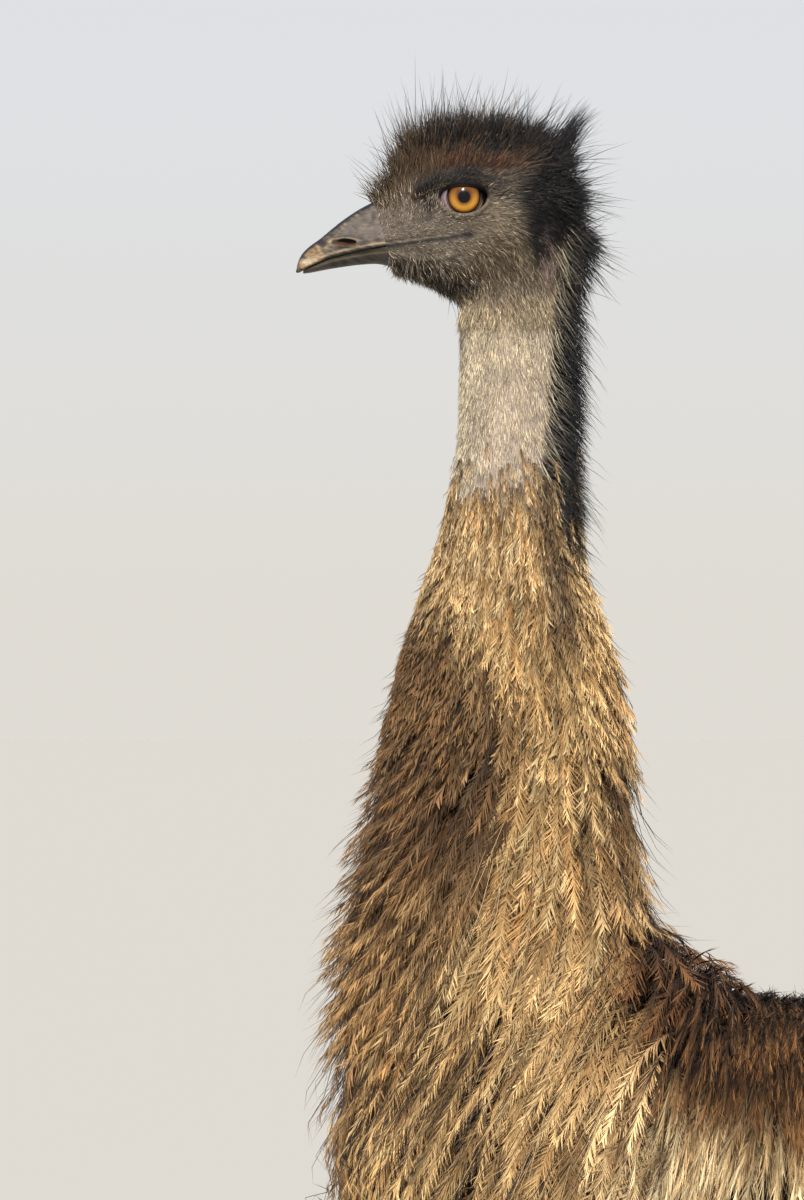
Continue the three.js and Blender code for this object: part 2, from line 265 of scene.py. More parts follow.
# the coat's own outline: neck by z, trunk by x, thigh by z
NECK_COAT = curve([
    (1600, -318, -262, 20), (1559, -333, -235, 33), (1491, -333, -237, 32), (1423, -339, -245, 36),
    (1389, -347, -244, 42), (1355, -358, -235, 51), (1321, -368, -224, 61), (1253, -384, -210, 77),
    (1185, -398, -205, 89), (1117, -411, -190, 103), (1042, -418, -160, 119), (980, -414, -150, 128),
    (940, -380, -190, 90), (925, -330, -240, 30),
])
TRUNK_COAT = curve([
    (-413, 965, 955, 5), (-408, 1018, 904, 48), (-384, 1076, 832, 97), (-357, 1093, 794, 120),
    (-316, 1110, 752, 142), (-262, 1131, 709, 162), (-207, 1144, 677, 178), (-167, 1119, 655, 190),
    (-129, 1090, 638, 200), (-90, 1083, 623, 208), (-31, 1091, 606, 219), (37, 1101, 595, 227),
    (105, 1099, 590, 228), (173, 1090, 590, 220), (241, 1069, 593, 204), (309, 1033, 599, 180),
    (377, 973, 610, 150), (440, 884, 628, 110), (486, 792, 654, 66), (504, 728, 692, 12),
])
THIGH_COAT = curve([
    (800, -116, 84, 66, 55), (730, -124, 94, 84, 60), (665, -114, 98, 84, 60), (605, -90, 92, 75, 55),
    (548, -60, 80, 59, 47), (498, -32, 63, 42, 36), (464, -12, 50, 30, 28), (440, 0, 41, 24, 24),
    (428, 14, 26, 10, 10),
])

FEET = {"left": (-1, 22.0), "right": (1, 88.0)}  # side, foot x
FOOT_Y = 92.0
EYE_X, EYE_Z = px(463.9, 198.6)
EYE_R = 19.0  # the whole ball, most of it inside the head
EYE_OUT = 30.2  # how far out its front reaches
EYE_Y = EYE_OUT - EYE_R


def ring_distance(u, v, a, b, n=2.0):
    """Distance from an oval of half sizes a and b with fullness n, measured along the ray from its centre."""
    a, b = np.maximum(a, 0.05), np.maximum(b, 0.05)
    if np.ndim(n) == 0 and n == 2.0:
        k = np.sqrt((u / a) ** 2 + (v / b) ** 2)
    else:
        k = ((np.abs(u) / a) ** n + (np.abs(v) / b) ** n) ** (1 / n)
    r = np.sqrt(u * u + v * v)
    low = np.minimum(a, b)
    far = r * (1 - 1 / np.maximum(k, 1e-3))
    return np.where(k > 0.25, far, (k - 1) * low)


def past_end(t, low, high):
    """How far t is outside low..high."""
    return np.maximum(np.maximum(low - t, t - high), 0)


def neck_field(x, y, z, table, low, high):
    c = table(np.clip(z, low, high))
    front, back, half = c[..., 0], c[..., 1], c[..., 2]
    d = ring_distance(x - (front + back) / 2, y, (back - front) / 2, half)
    return np.hypot(np.maximum(d, 0), past_end(z, low, high)) + np.minimum(d, 0)


def trunk_field(x, y, z, table, low, high):
    c = table(np.clip(x, low, high))
    top, bottom, half = c[..., 0], c[..., 1], c[..., 2]
    d = ring_distance(y, z - (top + bottom) / 2, half, (top - bottom) / 2)
    return np.hypot(np.maximum(d, 0), past_end(x, low, high)) + np.minimum(d, 0)


def thigh_field(x, y, z, table, foot_x, side, low, high):
    c = table(np.clip(z, low, high))
    u, v = x - foot_x, (y - side * FOOT_Y) * side
    middle, a = (c[..., 1] + c[..., 0]) / 2, (c[..., 1] - c[..., 0]) / 2
    b = np.where(v > 0, c[..., 2], c[..., 3])
    d = ring_distance(u - middle, v, a, b)
    return np.hypot(np.maximum(d, 0), past_end(z, low, high)) + np.minimum(d, 0)


def line_distance(x, z, points):
    """Distance in the side view from a line through pixel points, and how far along it, 0 to 1."""
    best, along = None, None
    p = [px(*q) for q in points]
    lengths = [math.dist(p[i], p[i + 1]) for i in range(len(p) - 1)]
    total, gone = sum(lengths), 0.0
    for i in range(len(p) - 1):
        ax, az = p[i]
        bx, bz = p[i + 1]
        t = np.clip(((x - ax) * (bx - ax) + (z - az) * (bz - az)) / lengths[i] ** 2, 0, 1)
        d = np.hypot(x - ax - t * (bx - ax), z - az - t * (bz - az))
        s = (gone + t * lengths[i]) / total
        if best is None:
            best, along = d, s
        else:
            along = np.where(d < best, s, along)
            best = np.minimum(d, best)
        gone += lengths[i]
    return best, along


def tube_field(x, y, z, points, k=0.0):
    """A round bar through points (x, y, z, radius)."""
    best = None
    for (ax, ay, az, ar), (bx, by, bz, br) in zip(points, points[1:]):
        dx, dy, dz = bx - ax, by - ay, bz - az
        t = np.clip(((x - ax) * dx + (y - ay) * dy + (z - az) * dz) / (dx * dx + dy * dy + dz * dz), 0, 1)
        d = np.sqrt((x - ax - t * dx) ** 2 + (y - ay - t * dy) ** 2 + (z - az - t * dz) ** 2) - (ar + t * (br - ar))
        best = d if best is None else (soft_min(best, d, k) if k else np.minimum(best, d))
    return best


MOUTH = [(299, 273), (308, 268), (330, 258.6), (350, 253.6), (370, 249.4), (400, 244.8), (440, 239.6), (463, 236.3), (471, 235.8)]
MOUTH_UPPER = [(357, 247.4), (369, 245.2), (416, 239.4), (440, 237.2), (463, 235.2)]
CREASE = [(464, 235), (465.5, 243), (468, 252)]
JAW_FOLD = [(398, 253), (406, 257.5), (425, 261), (446, 259), (462, 253)]
NOSTRIL_AT = px(344.3, 242.4)


def opening(x, z):
    """The eye's opening in the side view: under 0 inside, in millimetres."""
    dx, dz = x - EYE_X, z - EYE_Z
    a = np.where(dx < 0, 16.4, 15.8)
    b = np.where(dz > 0, 8.2, 11.3)
    n = np.where(dz > 0, 2.35, 1.9)
    k = ((np.abs(dx) / a) ** n + (np.abs(dz) / b) ** n) ** (1 / n)
    return (k - 1) * np.sqrt(dx * dx + dz * dz) / np.maximum(k, 0.3)


def fossa(x, z):
    """1 in the sunk matte field behind the nostril ridge, 0 outside it."""
    ax, az = px(353, 216)
    bx, bz = px(331, 241)
    length = math.hypot(bx - ax, bz - az)
    behind = ((x - ax) * -(bz - az) + (z - az) * (bx - ax)) / length  # over 0 behind the ridge
    cx, cz = px(350, 219.5)
    ex, ez = px(388, 203)
    long2 = math.hypot(ex - cx, ez - cz)
    below = ((x - cx) * (ez - cz) - (z - cz) * (ex - cx)) / long2
    gx, gz = px(330, 247)
    hx, hz = px(372, 243)
    long3 = math.hypot(hx - gx, hz - gz)
    above = -((x - gx) * (hz - gz) - (z - gz) * (hx - gx)) / long3
    back = px(384, 0)[0] - x
    return step(0, 2.2, behind) * step(0, 2.4, below) * step(-0.3, 1.6, above) * step(0, 9, back)


def head_field(x, y, z):
    """The head with its bill, brow, lids' swelling, creases and nostril, before the eye's opening is cut."""
    ay = np.abs(y)
    c = HEAD(np.clip(x, -441.2, -255))
    top, bottom, half, narrowing, full = (c[..., i] for i in range(5))
    middle, high = (top + bottom) / 2, (top - bottom) / 2
    v = np.clip((z - middle) / np.maximum(high, 0.3), -1, 1)
    wide = half * (1 - narrowing * v)
    mouth_z = np.interp(x, [px(*q)[0] for q in MOUTH], [px(*q)[1] for q in MOUTH])
    under = step(0.4, -1.4, z - mouth_z) * step(-374, -392, x)
    wide = wide * (1 - 0.2 * under)  # the lower jaw closes inside the upper
    d = ring_distance(ay, z - middle, wide, high, full)
    d = np.hypot(np.maximum(d, 0), past_end(x, -441.2, -255)) + np.minimum(d, 0)
    # cheek behind the gape, and the hollow in front of the eye
    cx, cz = px(497, 236)
    d = d - 2.0 * np.exp(-(((x - cx) / 15) ** 2 + ((z - cz) / 13) ** 2))
    cx, cz = px(424, 205)
    d = d + 2.4 * np.exp(-(((x - cx) / 8.5) ** 2 + ((z - cz) / 8) ** 2)) * step(8, 14, ay)
    # hollow behind the eye, over the ear
    cx, cz = px(515, 205)
    d = d + 1.3 * np.exp(-(((x - cx) / 9) ** 2 + ((z - cz) / 9) ** 2))
    # lids' ball and the brow over it
    ball = np.sqrt((x - EYE_X) ** 2 + (ay - EYE_Y) ** 2 + (z - EYE_Z) ** 2) - (EYE_R + 1.7)
    d = soft_min(d, ball, 3.2)
    brow = []
    for u, w, out, r in (
        (414, 198.5, 19.5, 1.6), (426, 190, 23.2, 2.6), (438, 184.6, 26.2, 3.2), (450, 181.6, 27.8, 3.7),
        (464, 180.6, 28.6, 3.9), (478, 182.2, 28.6, 3.8), (491, 187.2, 28.0, 3.3), (503, 195, 27.6, 2.4),
    ):
        bx, bz = px(u, w)
        brow.append((bx, out, bz, r))
    d = soft_min(d, tube_field(x, ay, z, brow), 3.0)
    # pouch under the eye, and the fold below it
    dist, _ = line_distance(x, z, [(436, 207), (446, 218), (463, 223.5), (480, 219), (492, 207)])
    outer = step(14, 20, ay)
    d = d + 0.95 * np.exp(-((dist / 1.15) ** 2)) * outer
    dist, _ = line_distance(x, z, [(437, 204), (448, 214.6), (463, 219.2), (478, 215.6), (489, 204)])
    d = d - 0.55 * np.exp(-((dist / 1.1) ** 2)) * outer
    # the mouth line, the pale stripe over it, and the crease at its corner
    side = step(1.5, 5, ay)
    dist, s = line_distance(x, z, MOUTH)
    d = d + 1.5 * np.exp(-((dist / 0.75) ** 2)) * side * step(1.0, 0.93, s)
    dist, s = line_distance(x, z, MOUTH_UPPER)
    d = d + 0.75 * np.exp(-((dist / 0.7) ** 2)) * side * step(0, 0.08, s)
    dist, s = line_distance(x, z, CREASE)
    d = d + 0.8 * np.exp(-((dist / 0.7) ** 2)) * side * step(1.0, 0.6, s)
    dist, s = line_distance(x, z, JAW_FOLD)
    ends = step(0, 0.15, s) * step(1, 0.8, s)
    d = d - 0.8 * np.exp(-((dist / 1.5) ** 2)) * side * ends
    dist, s = line_distance(x, z, [(u, v + 4) for u, v in JAW_FOLD])
    d = d + 0.9 * np.exp(-((dist / 1.3) ** 2)) * side * ends
    # nostril in its sunk field, with a raised rim
    d = d + 1.15 * fossa(x, z) * step(2.5, 6, ay)
    nx, nz = NOSTRIL_AT
    tilt = math.radians(-3.5)
    u, w = (x - nx) * math.cos(tilt) + (z - nz) * math.sin(tilt), -(x - nx) * math.sin(tilt) + (z - nz) * math.cos(tilt)
    around = np.sqrt((u / 8.4) ** 2 + ((w + 0.05 * np.abs(u)) / 2.3) ** 2)
    d = d - 0.75 * np.exp(-(((around - 1.28) / 0.22) ** 2)) * side
    pit = np.sqrt((u / 8.2) ** 2 + (w / 2.2) ** 2 + ((ay - 13.2) / 7.2) ** 2)
    d = np.maximum(d, -(pit - 1) * 2.2)
    # ridge from the culmen to the nostril, and the blade edge of the upper jaw
    dist, s = line_distance(x, z, [(353, 216), (343, 226), (331, 241), (318, 254)])
    d = d - 0.5 * np.exp(-((dist / 0.95) ** 2)) * side * step(1, 0.75, s)
    dist, s = line_distance(x, z, [(u, v - 3.2) for u, v in MOUTH[:6]])
    d = d - 0.45 * np.exp(-((dist / 0.8) ** 2)) * side * step(1, 0.8, s)
    # ear
    cx, cz = px(539, 226)
    d = d + 2.2 * np.exp(-(((x - cx) / 5) ** 2 + ((z - cz) / 8) ** 2))
    return d


def bird_field(x, y, z):
    """The skin of trunk, neck and thighs above the hock; the head with its bill is joined in later."""
    d = trunk_field(x, y, z, TRUNK, -378, 418)
    d = soft_min(d, neck_field(x, y, z, NECK, 905, 1625), 34 * step(1150, 1060, z) + 1e-3 + 10 * step(1500, 1560, z))
    for side, foot_x in FEET.values():
        d = soft_min(d, thigh_field(x, y, z, THIGH, foot_x, side, 428, 830), 30 * step(560, 700, z) + 1e-3)
    return d


def coat_field(x, y, z):
    """The outline of the coat, without the head."""
    d = trunk_field(x, y, z, TRUNK_COAT, -413, 504)
    d = np.minimum(d, neck_field(x, y, z, NECK_COAT, 925, 1600))
    for side, foot_x in FEET.values():
        d = np.minimum(d, thigh_field(x, y, z, THIGH_COAT, foot_x, side, 428, 800))
    return d


# ---------------------------------------------------------------- surfaces from fields


def axis(*spans):
    """Grid places along one axis from (start, step) pairs ending with (end, None), with the step changing smoothly."""
    out = [spans[0][0]]
    knots = [s[0] for s in spans[:-1]]
    steps = [s[1] for s in spans[:-1]]
    while out[-1] < spans[-1][0]:
        out.append(out[-1] + float(np.interp(out[-1], knots, steps)))
    return np.array(out)


class Field:
    """A distance field kept on a grid, that can be read anywhere."""

    def __init__(self, xs, ys, zs, values):
        self.axes, self.values = (xs, ys, zs), values

    def places(self, p):
        i, f = [], []
        for k, a in enumerate(self.axes):
            t = np.interp(p[..., k], a, np.arange(len(a)))
            b = np.clip(np.floor(t).astype(np.int64), 0, len(a) - 2)
            i.append(b)
            f.append(t - b)
        return i, f

    def at(self, p):
        (i, j, k), (u, v, w) = self.places(p)
        g = self.values
        c00 = g[i, j, k] * (1 - u) + g[i + 1, j, k] * u
        c10 = g[i, j + 1, k] * (1 - u) + g[i + 1, j + 1, k] * u
        c01 = g[i, j, k + 1] * (1 - u) + g[i + 1, j, k + 1] * u
        c11 = g[i, j + 1, k + 1] * (1 - u) + g[i + 1, j + 1, k + 1] * u
        return (c00 * (1 - v) + c10 * v) * (1 - w) + (c01 * (1 - v) + c11 * v) * w

    def slope(self, p, e=2.0):
        out = np.empty(p.shape)
        for k in range(3):
            a, b = p.copy(), p.copy()
            a[..., k] += e
            b[..., k] -= e
            out[..., k] = (self.at(a) - self.at(b)) / (2 * e)
        return out


def surface(xs, ys, zs, g, smooth=1):
    """The zero surface of a grid field as points and triangles, one point to a crossed cell."""
    inside = g < 0
    n = np.zeros((len(xs) - 1, len(ys) - 1, len(zs) - 1), np.int8)
    for a in (0, 1):
        for b in (0, 1):
            for c in (0, 1):
                n += inside[a : len(xs) - 1 + a, b : len(ys) - 1 + b, c : len(zs) - 1 + c]
    cell = np.argwhere((n > 0) & (n < 8))
    index = np.full(n.shape, -1, np.int32)
    index[tuple(cell.T)] = np.arange(len(cell))
    corner = {}
    for a in (0, 1):
        for b in (0, 1):
            for c in (0, 1):
                corner[a, b, c] = g[cell[:, 0] + a, cell[:, 1] + b, cell[:, 2] + c].astype(float)
    total, count = np.zeros((len(cell), 3)), np.zeros(len(cell))
    for k in range(3):
        for a in (0, 1):
            for b in (0, 1):
                lo, hi = [a, b], [a, b]
                lo.insert(k, 0)
                hi.insert(k, 1)
                p, q = corner[tuple(lo)], corner[tuple(hi)]
                crossed = (p < 0) != (q < 0)
                t = np.where(crossed, p / np.where(crossed, p - q, 1), 0)
                point = np.repeat(np.array(lo, float)[None], len(cell), 0)
                point[:, k] = t
                total += point * crossed[:, None]
                count += crossed
    local = total / count[:, None]
    pts = np.empty((len(cell), 3))
    for k, a in enumerate((xs, ys, zs)):
        i = cell[:, k]
        pts[:, k] = a[i] + local[:, k] * (a[i + 1] - a[i])
    quads = []
    for k in range(3):
        lo = [slice(None)] * 3
        hi = [slice(None)] * 3
        lo[k], hi[k] = slice(0, -1), slice(1, None)
        a, b = inside[tuple(lo)], inside[tuple(hi)]
        o1, o2 = [m for m in range(3) if m != k]
        cut = a != b
        e = np.argwhere(cut)
        e = e[(e[:, o1] > 0) & (e[:, o2] > 0) & (e[:, o1] < g.shape[o1] - 1) & (e[:, o2] < g.shape[o2] - 1)]
        flip = a[tuple(e.T)]
        ring = []
        for s1, s2 in ((1, 1), (0, 1), (0, 0), (1, 0)):
            c = e.copy()
            c[:, o1] -= s1
            c[:, o2] -= s2
            ring.append(index[tuple(c.T)])
        q = np.stack(ring, 1)
        if k == 1:
            flip = ~flip
        q[~flip] = q[~flip][:, ::-1]
        quads.append(q)
    quads = np.concatenate(quads)
    quads = quads[(quads >= 0).all(1)]
    f = Field(xs, ys, zs, g)
    for _ in range(smooth):  # even out, then back onto the surface
        near, hits = np.zeros_like(pts), np.zeros(len(pts))
        for a, b in ((0, 1), (1, 2), (2, 3), (3, 0)):
            np.add.at(near, quads[:, a], pts[quads[:, b]])
            np.add.at(near, quads[:, b], pts[quads[:, a]])
            np.add.at(hits, quads[:, a], 1)
            np.add.at(hits, quads[:, b], 1)
        pts = pts * 0.5 + 0.5 * near / np.maximum(hits, 1)[:, None]
        s = f.slope(pts, 0.6)
        pts -= np.clip(f.at(pts)[:, None], -1.5, 1.5) * s / np.maximum(dot(s, s), 0.09)
    # each quad is cut along its shorter diagonal
    d1 = np.linalg.norm(pts[quads[:, 0]] - pts[quads[:, 2]], axis=1)
    d2 = np.linalg.norm(pts[quads[:, 1]] - pts[quads[:, 3]], axis=1)
    one = np.where((d1 <= d2)[:, None], quads[:, [0, 1, 2]], quads[:, [0, 1, 3]])
    two = np.where((d1 <= d2)[:, None], quads[:, [0, 2, 3]], quads[:, [1, 2, 3]])
    return pts, np.concatenate([one, two])


def to_part(p):
    """Table millimetres to metres in the part's frame."""
    q = np.array(p, float)
    q[..., 0] += SHIFT
    return q * MM


def build(name, pts, tris, colours=None, values=None, uv=None, smooth=True, metres=False):
    """A mesh object from arrays: points in table millimetres, triangles, colour and number attributes, and the bake map."""
    pts = np.asarray(pts, float)
    tris = np.asarray(tris, np.int32)
    co = pts if metres else to_part(pts)
    mesh = bpy.data.meshes.new(name)
    mesh.vertices.add(len(co))
    mesh.vertices.foreach_set("co", co.astype(np.float32).ravel())
    mesh.loops.add(tris.size)
    mesh.loops.foreach_set("vertex_index", tris.ravel())
    mesh.polygons.add(len(tris))
    mesh.polygons.foreach_set("loop_start", np.arange(0, tris.size, 3, dtype=np.int32))
    mesh.update(calc_edges=True)
    mesh.polygons.foreach_set("use_smooth", np.full(len(tris), smooth))
    if colours is not None:
        rgba = np.ones((len(co), 4), np.float32)
        rgba[:, :3] = colours
        mesh.attributes.new("tint", "FLOAT_COLOR", "POINT").data.foreach_set("color", rgba.ravel())
    for key, value in (values or {}).items():
        mesh.attributes.new(key, "FLOAT", "POINT").data.foreach_set("value", np.asarray(value, np.float32))
    if uv is not None:
        layer = mesh.uv_layers.new(name="OFBake")
        layer.data.foreach_set("uv", np.asarray(uv, np.float32)[tris.ravel()].ravel())
    mesh.validate(clean_customdata=False)
    obj = bpy.data.objects.new(name, mesh)
    scene.collection.objects.link(obj)
    return obj


def joined(parts):
    """Several (points, triangles, ...) joined into one set of arrays."""
    base, out = 0, None
    for part in parts:
        part = list(part)
        part[1] = part[1] + base
        base += len(part[0])
        out = [[x] for x in part] if out is None else [o + [x] for o, x in zip(out, part)]
    return [np.concatenate(o) for o in out]


# ---------------------------------------------------------------- the skin's grid

body_x = axis((-450, 1.3), (-300, 1.4), (-262, 2.2), (-225, 9), (-190, 11), (440, None))
half_y = axis((0, 1.7), (14, 1.3), (33, 1.3), (44, 3.0), (62, 10.0), (205, None))
body_y = np.concatenate([-half_y[::-1] - 0.8, half_y + 0.8])
body_z = axis((430, 4.2), (480, 10.5), (1250, 10.5), (1395, 5.0), (1500, 3.2), (1556, 1.3), (1652, 1.3), (1680, 2.0), (1700, None))

X, Y, Z = body_x[:, None, None], body_y[None, :, None], body_z[None, None, :]
grid = bird_field(X, Y, Z).astype(np.float32)

# the head, where it is
hi_x = np.searchsorted(body_x, -225)
lo_y, hi_y = np.searchsorted(body_y, -58), np.searchsorted(body_y, 58)
lo_z = np.searchsorted(body_z, 1500)
head_part = head_field(X[:hi_x], Y[:, lo_y:hi_y], Z[:, :, lo_z:])
grid[:hi_x, lo_y:hi_y, lo_z:] = soft_min(grid[:hi_x, lo_y:hi_y, lo_z:], head_part, 9.0)

BILL_X0, BILL_Z0 = -385.0, 1612.0


def behind_bill(x, z):
    """Over 0 on the skin's side of the line where horn meets skin, in millimetres."""
    line = ((x - BILL_X0) + 0.28 * (z - BILL_Z0)) / math.hypot(1, 0.28)
    return np.where(z < 1500, 50.0, line)


def eye_hole(x, y, z):
    """The opening between the lids, down to the ball and the floor of its socket."""
    ay = np.abs(y)
    hole = np.maximum(opening(x, z), 17.0 - ay)
    ball = np.sqrt((x - EYE_X) ** 2 + (ay - EYE_Y) ** 2 + (z - EYE_Z) ** 2) - (EYE_R + 0.25)
    ball = np.maximum(ball, 19.5 - ay)
    return np.minimum(hole, ball)


skin_grid = grid.copy()
part = skin_grid[:hi_x, lo_y:hi_y, lo_z:]
hx, hy, hz = X[:hi_x], Y[:, lo_y:hi_y], Z[:, :, lo_z:]
part[:] = np.maximum(part, -eye_hole(hx, hy, hz))
part[:] = np.maximum(part, -behind_bill(hx, hz))

whole = Field(body_x, body_y, body_z, grid)  # skin with bill and closed lids, to guide the coat
coat_grid = coat_field(X, Y, Z).astype(np.float32)
depth_grid = np.clip(grid / np.maximum(grid - coat_grid, 4.0), -1, 3).astype(np.float32)
near_depth = Field(body_x, body_y, body_z, depth_grid)
del coat_grid
far_x, far_y, far_z = np.arange(-540.0, 660, 9), np.arange(-333.0, 334, 9), np.arange(380.0, 1710, 9)
X, Y, Z = far_x[:, None, None], far_y[None, :, None], far_z[None, None, :]
far_grid = bird_field(X, Y, Z).astype(np.float32)
far_grid = np.clip(far_grid / np.maximum(far_grid - coat_field(X, Y, Z), 4.0), -1, 6).astype(np.float32)
far_depth = Field(far_x, far_y, far_z, far_grid)


class Depth(Field):
    """How deep in the coat a point lies: 0 on the skin, 1 on the coat's outline, more beyond it."""

    def __init__(self):
        pass

    def at(self, p):
        low = [a[0] + 1 for a in near_depth.axes]
        high = [a[-1] - 1 for a in near_depth.axes]
        inside = np.all((p > low) & (p < high), -1)
        return np.where(inside, near_depth.at(p), far_depth.at(p))


depth = Depth()

skin_pts, skin_tris = surface(body_x, body_y, body_z, skin_grid, 2)


# ---------------------------------------------------------------- shanks, feet and toes, bare

SHANK = curve([
    (470, -6, 44, 22, 22), (440, -4.5, 39.5, 20.5, 20.5), (420, -6, 40, 24, 24), (402, -7, 40, 25, 25),
    (388, -6, 37, 22.5, 22.5), (374, -5, 33, 20, 20), (330, -8, 25, 16, 16), (200, -13, 19, 15, 15),
    (100, -17, 16, 17, 17), (70, -19, 15, 20, 20), (50, -14, 10, 18, 18),
])
FOOT = curve([
    (82, -14, 12, 14, 14), (70, -19, 15, 20, 20), (48, -25, 20, 23, 23), (24, -32, 27, 27, 27),
    (8, -32, 28, 27, 27), (-8, -22, 18, 18, 18),
])
TOES = {"middle": (128, 0.0, 15.5, 4), "inner": (84, 31.0, 12.5, 3), "outer": (80, -34.0, 12.5, 3)}


def toe_shape(t, length, r, knuckles):
    k = r * (1 + 0.07 * np.cos(2 * np.pi * knuckles * t)) * (1 - 0.42 * t)
    return k, r * (0.92 - 0.3 * t)


def leg_field(u, v, z):
    """One bare leg about its own foot centre: u along the bird, v outwards."""
    c = SHANK(np.clip(z, 50, 470))
    middle, a, b = (c[..., 1] + c[..., 0]) / 2, (c[..., 1] - c[..., 0]) / 2, c[..., 2]
    d = ring_distance(u - middle, v, a, b)
    d = np.hypot(np.maximum(d, 0), past_end(z, 50, 470)) + np.minimum(d, 0)
    # the heel's knob behind the hock and the tendon's groove along each side of the shank
    heel = np.sqrt(((u - 24) / 15) ** 2 + (v / 15) ** 2 + ((z - 405) / 26) ** 2)
    d = soft_min(d, (heel - 1) * 15, 10)
    d = d + 1.6 * np.exp(-(((u - middle - 0.28 * a) / 4.0) ** 2)) * step(90, 140, z) * step(385, 330, z)
    for level in (431, 419, 381):  # folds where the hock bends
        d = d + 1.0 * np.exp(-(((z - level + 0.25 * u) / 2.6) ** 2)) * step(14, 6, u)
    c = FOOT(np.clip(z, -8, 82))
    foot = ring_distance(u - (c[..., 1] + c[..., 0]) / 2, v, (c[..., 1] - c[..., 0]) / 2, c[..., 2])
    foot = np.hypot(np.maximum(foot, 0), past_end(z, -8, 82)) + np.minimum(foot, 0)
    d = soft_min(d, foot, 10)
    for length, angle, r, knuckles in TOES.values():
        a = math.radians(angle)
        # along points forward (-u) and turned outwards by the angle
        s = -u * math.cos(a) - v * math.sin(a)
        w = -v * math.cos(a) + u * math.sin(a)
        t = np.clip((s - 8) / (length + 4), 0, 1)
        k, rise = toe_shape(t, length, r, knuckles)
        oval = ring_distance(w, z - rise, k, rise * np.where(z > rise, 1.12 - 0.2 * t, 1.35))
        toe = np.hypot(np.maximum(oval, 0), past_end(s, 8, length - 3)) + np.minimum(oval, 0)
        pads = 0.9 * np.cos(2 * np.pi * knuckles * t) * step(0.1, 0.25, t)
        d = soft_min(d, toe - pads * step(rise + 4, rise - 6, z), 5.0)
    return np.maximum(d, -z)  # flat soles on the floor


leg_x = np.arange(-142, 62, 2.4)
leg_y = np.arange(-72, 72, 2.4)
leg_z = axis((-2.4, 2.4), (80, 2.4), (150, 4.5), (350, 4.5), (380, 3.2), (474, None))
leg_grid = leg_field(leg_x[:, None, None], leg_y[None, :, None], leg_z[None, None, :]).astype(np.float32)
leg_zone = Field(leg_x, leg_y, leg_z, leg_grid)
leg_pts, leg_tris = surface(leg_x, leg_y, leg_z, leg_grid, 2)
leg_pts[leg_pts[:, 2] < 0.9, 2] = 0.0


def leg_to_bird(p, name):
    side, foot_x = FEET[name]
    q = np.array(p, float)
    q[..., 0] += foot_x
    # toes turn outwards alike on both legs
    q[..., 1] = side * (FOOT_Y + q[..., 1])
    return q


print("skin", len(skin_pts), len(skin_tris), "leg", len(leg_tris))


# ---------------------------------------------------------------- materials


def material(name):
    m = bpy.data.materials.new(name)
    m.use_nodes = True
    nodes = m.node_tree.nodes
    shader = nodes["Principled BSDF"]
    return m, nodes, m.node_tree.links, shader


def node(nodes, kind, **settings):
    n = nodes.new(kind)
    for k, v in settings.items():
        if k in n.inputs:
            n.inputs[k].default_value = v
        else:
            setattr(n, k, v)
    return n


def attribute(nodes, name):
    return node(nodes, "ShaderNodeAttribute", attribute_name=name)


def noise_of(nodes, links, coords, scale, detail=3.0, rough=0.5):
    n = node(nodes, "ShaderNodeTexNoise", Scale=scale, Detail=detail, Roughness=rough)
    links.new(coords, n.inputs["Vector"])
    return n


def ramp(nodes, links, value, stops):
    r = nodes.new("ShaderNodeValToRGB")
    e = r.color_ramp.elements
    while len(e) > len(stops):
        e.remove(e[-1])
    while len(e) < len(stops):
        e.new(0.5)
    for element, (at, colour) in zip(e, stops):
        element.position = at
        element.color = (*colour, 1) if len(colour) == 3 else colour
    links.new(value, r.inputs["Fac"])
    return r


def blended(nodes, links, kind, a, b, factor=1.0):
    m = nodes.new("ShaderNodeMix")
    m.data_type = "RGBA"
    m.blend_type = kind
    for socket, value in ((m.inputs[0], factor), (m.inputs[6], a), (m.inputs[7], b)):
        if isinstance(value, bpy.types.NodeSocket):
            links.new(value, socket)
        else:
            socket.default_value = value if isinstance(value, float) else (*value, 1)
    return m.outputs[2]


def maths(nodes, links, kind, *values):
    m = node(nodes, "ShaderNodeMath", operation=kind)
    for i, v in enumerate(values):
        if isinstance(v, bpy.types.NodeSocket):
            links.new(v, m.inputs[i])
        else:
            m.inputs[i].default_value = v
    return m.outputs[0]


def bump_of(nodes, links, height, distance, strength=1.0, after=None):
    b = node(nodes, "ShaderNodeBump", Distance=distance, Strength=strength)
    links.new(height, b.inputs["Height"])
    if after is not None:
        links.new(after, b.inputs["Normal"])
    return b.outputs[0]


def grey(v):
    return (v, v, v)


# bare and feathered skin: tint per point, fine pebbles, pores and pale specks
skin_mat, n, l, s = material("skin")
at = node(n, "ShaderNodeTexCoord").outputs["Object"]
tint = attribute(n, "tint").outputs["Color"]
pebble = node(n, "ShaderNodeTexVoronoi", feature="F1", Scale=780.0)
l.new(at, pebble.inputs["Vector"])
pebble2 = node(n, "ShaderNodeTexVoronoi", feature="F1", Scale=420.0)
l.new(at, pebble2.inputs["Vector"])
fine = noise_of(n, l, at, 900.0, 2.0, 0.6)
broad = noise_of(n, l, at, 90.0, 3.0, 0.6)
mottle = ramp(n, l, broad.outputs["Fac"], [(0.3, grey(0.66)), (0.72, grey(1.0))])
speck = ramp(n, l, fine.outputs["Fac"], [(0.4, grey(0.55)), (0.62, grey(1.0))])
cell = ramp(n, l, pebble.outputs["Distance"], [(0.05, grey(1.0)), (0.75, grey(0.52))])
c = blended(n, l, "MULTIPLY", tint, mottle.outputs[0], 0.8)
c = blended(n, l, "MULTIPLY", c, speck.outputs[0], 0.6)
c = blended(n, l, "MULTIPLY", c, cell.outputs[0], 0.55)
l.new(c, s.inputs["Base Color"])
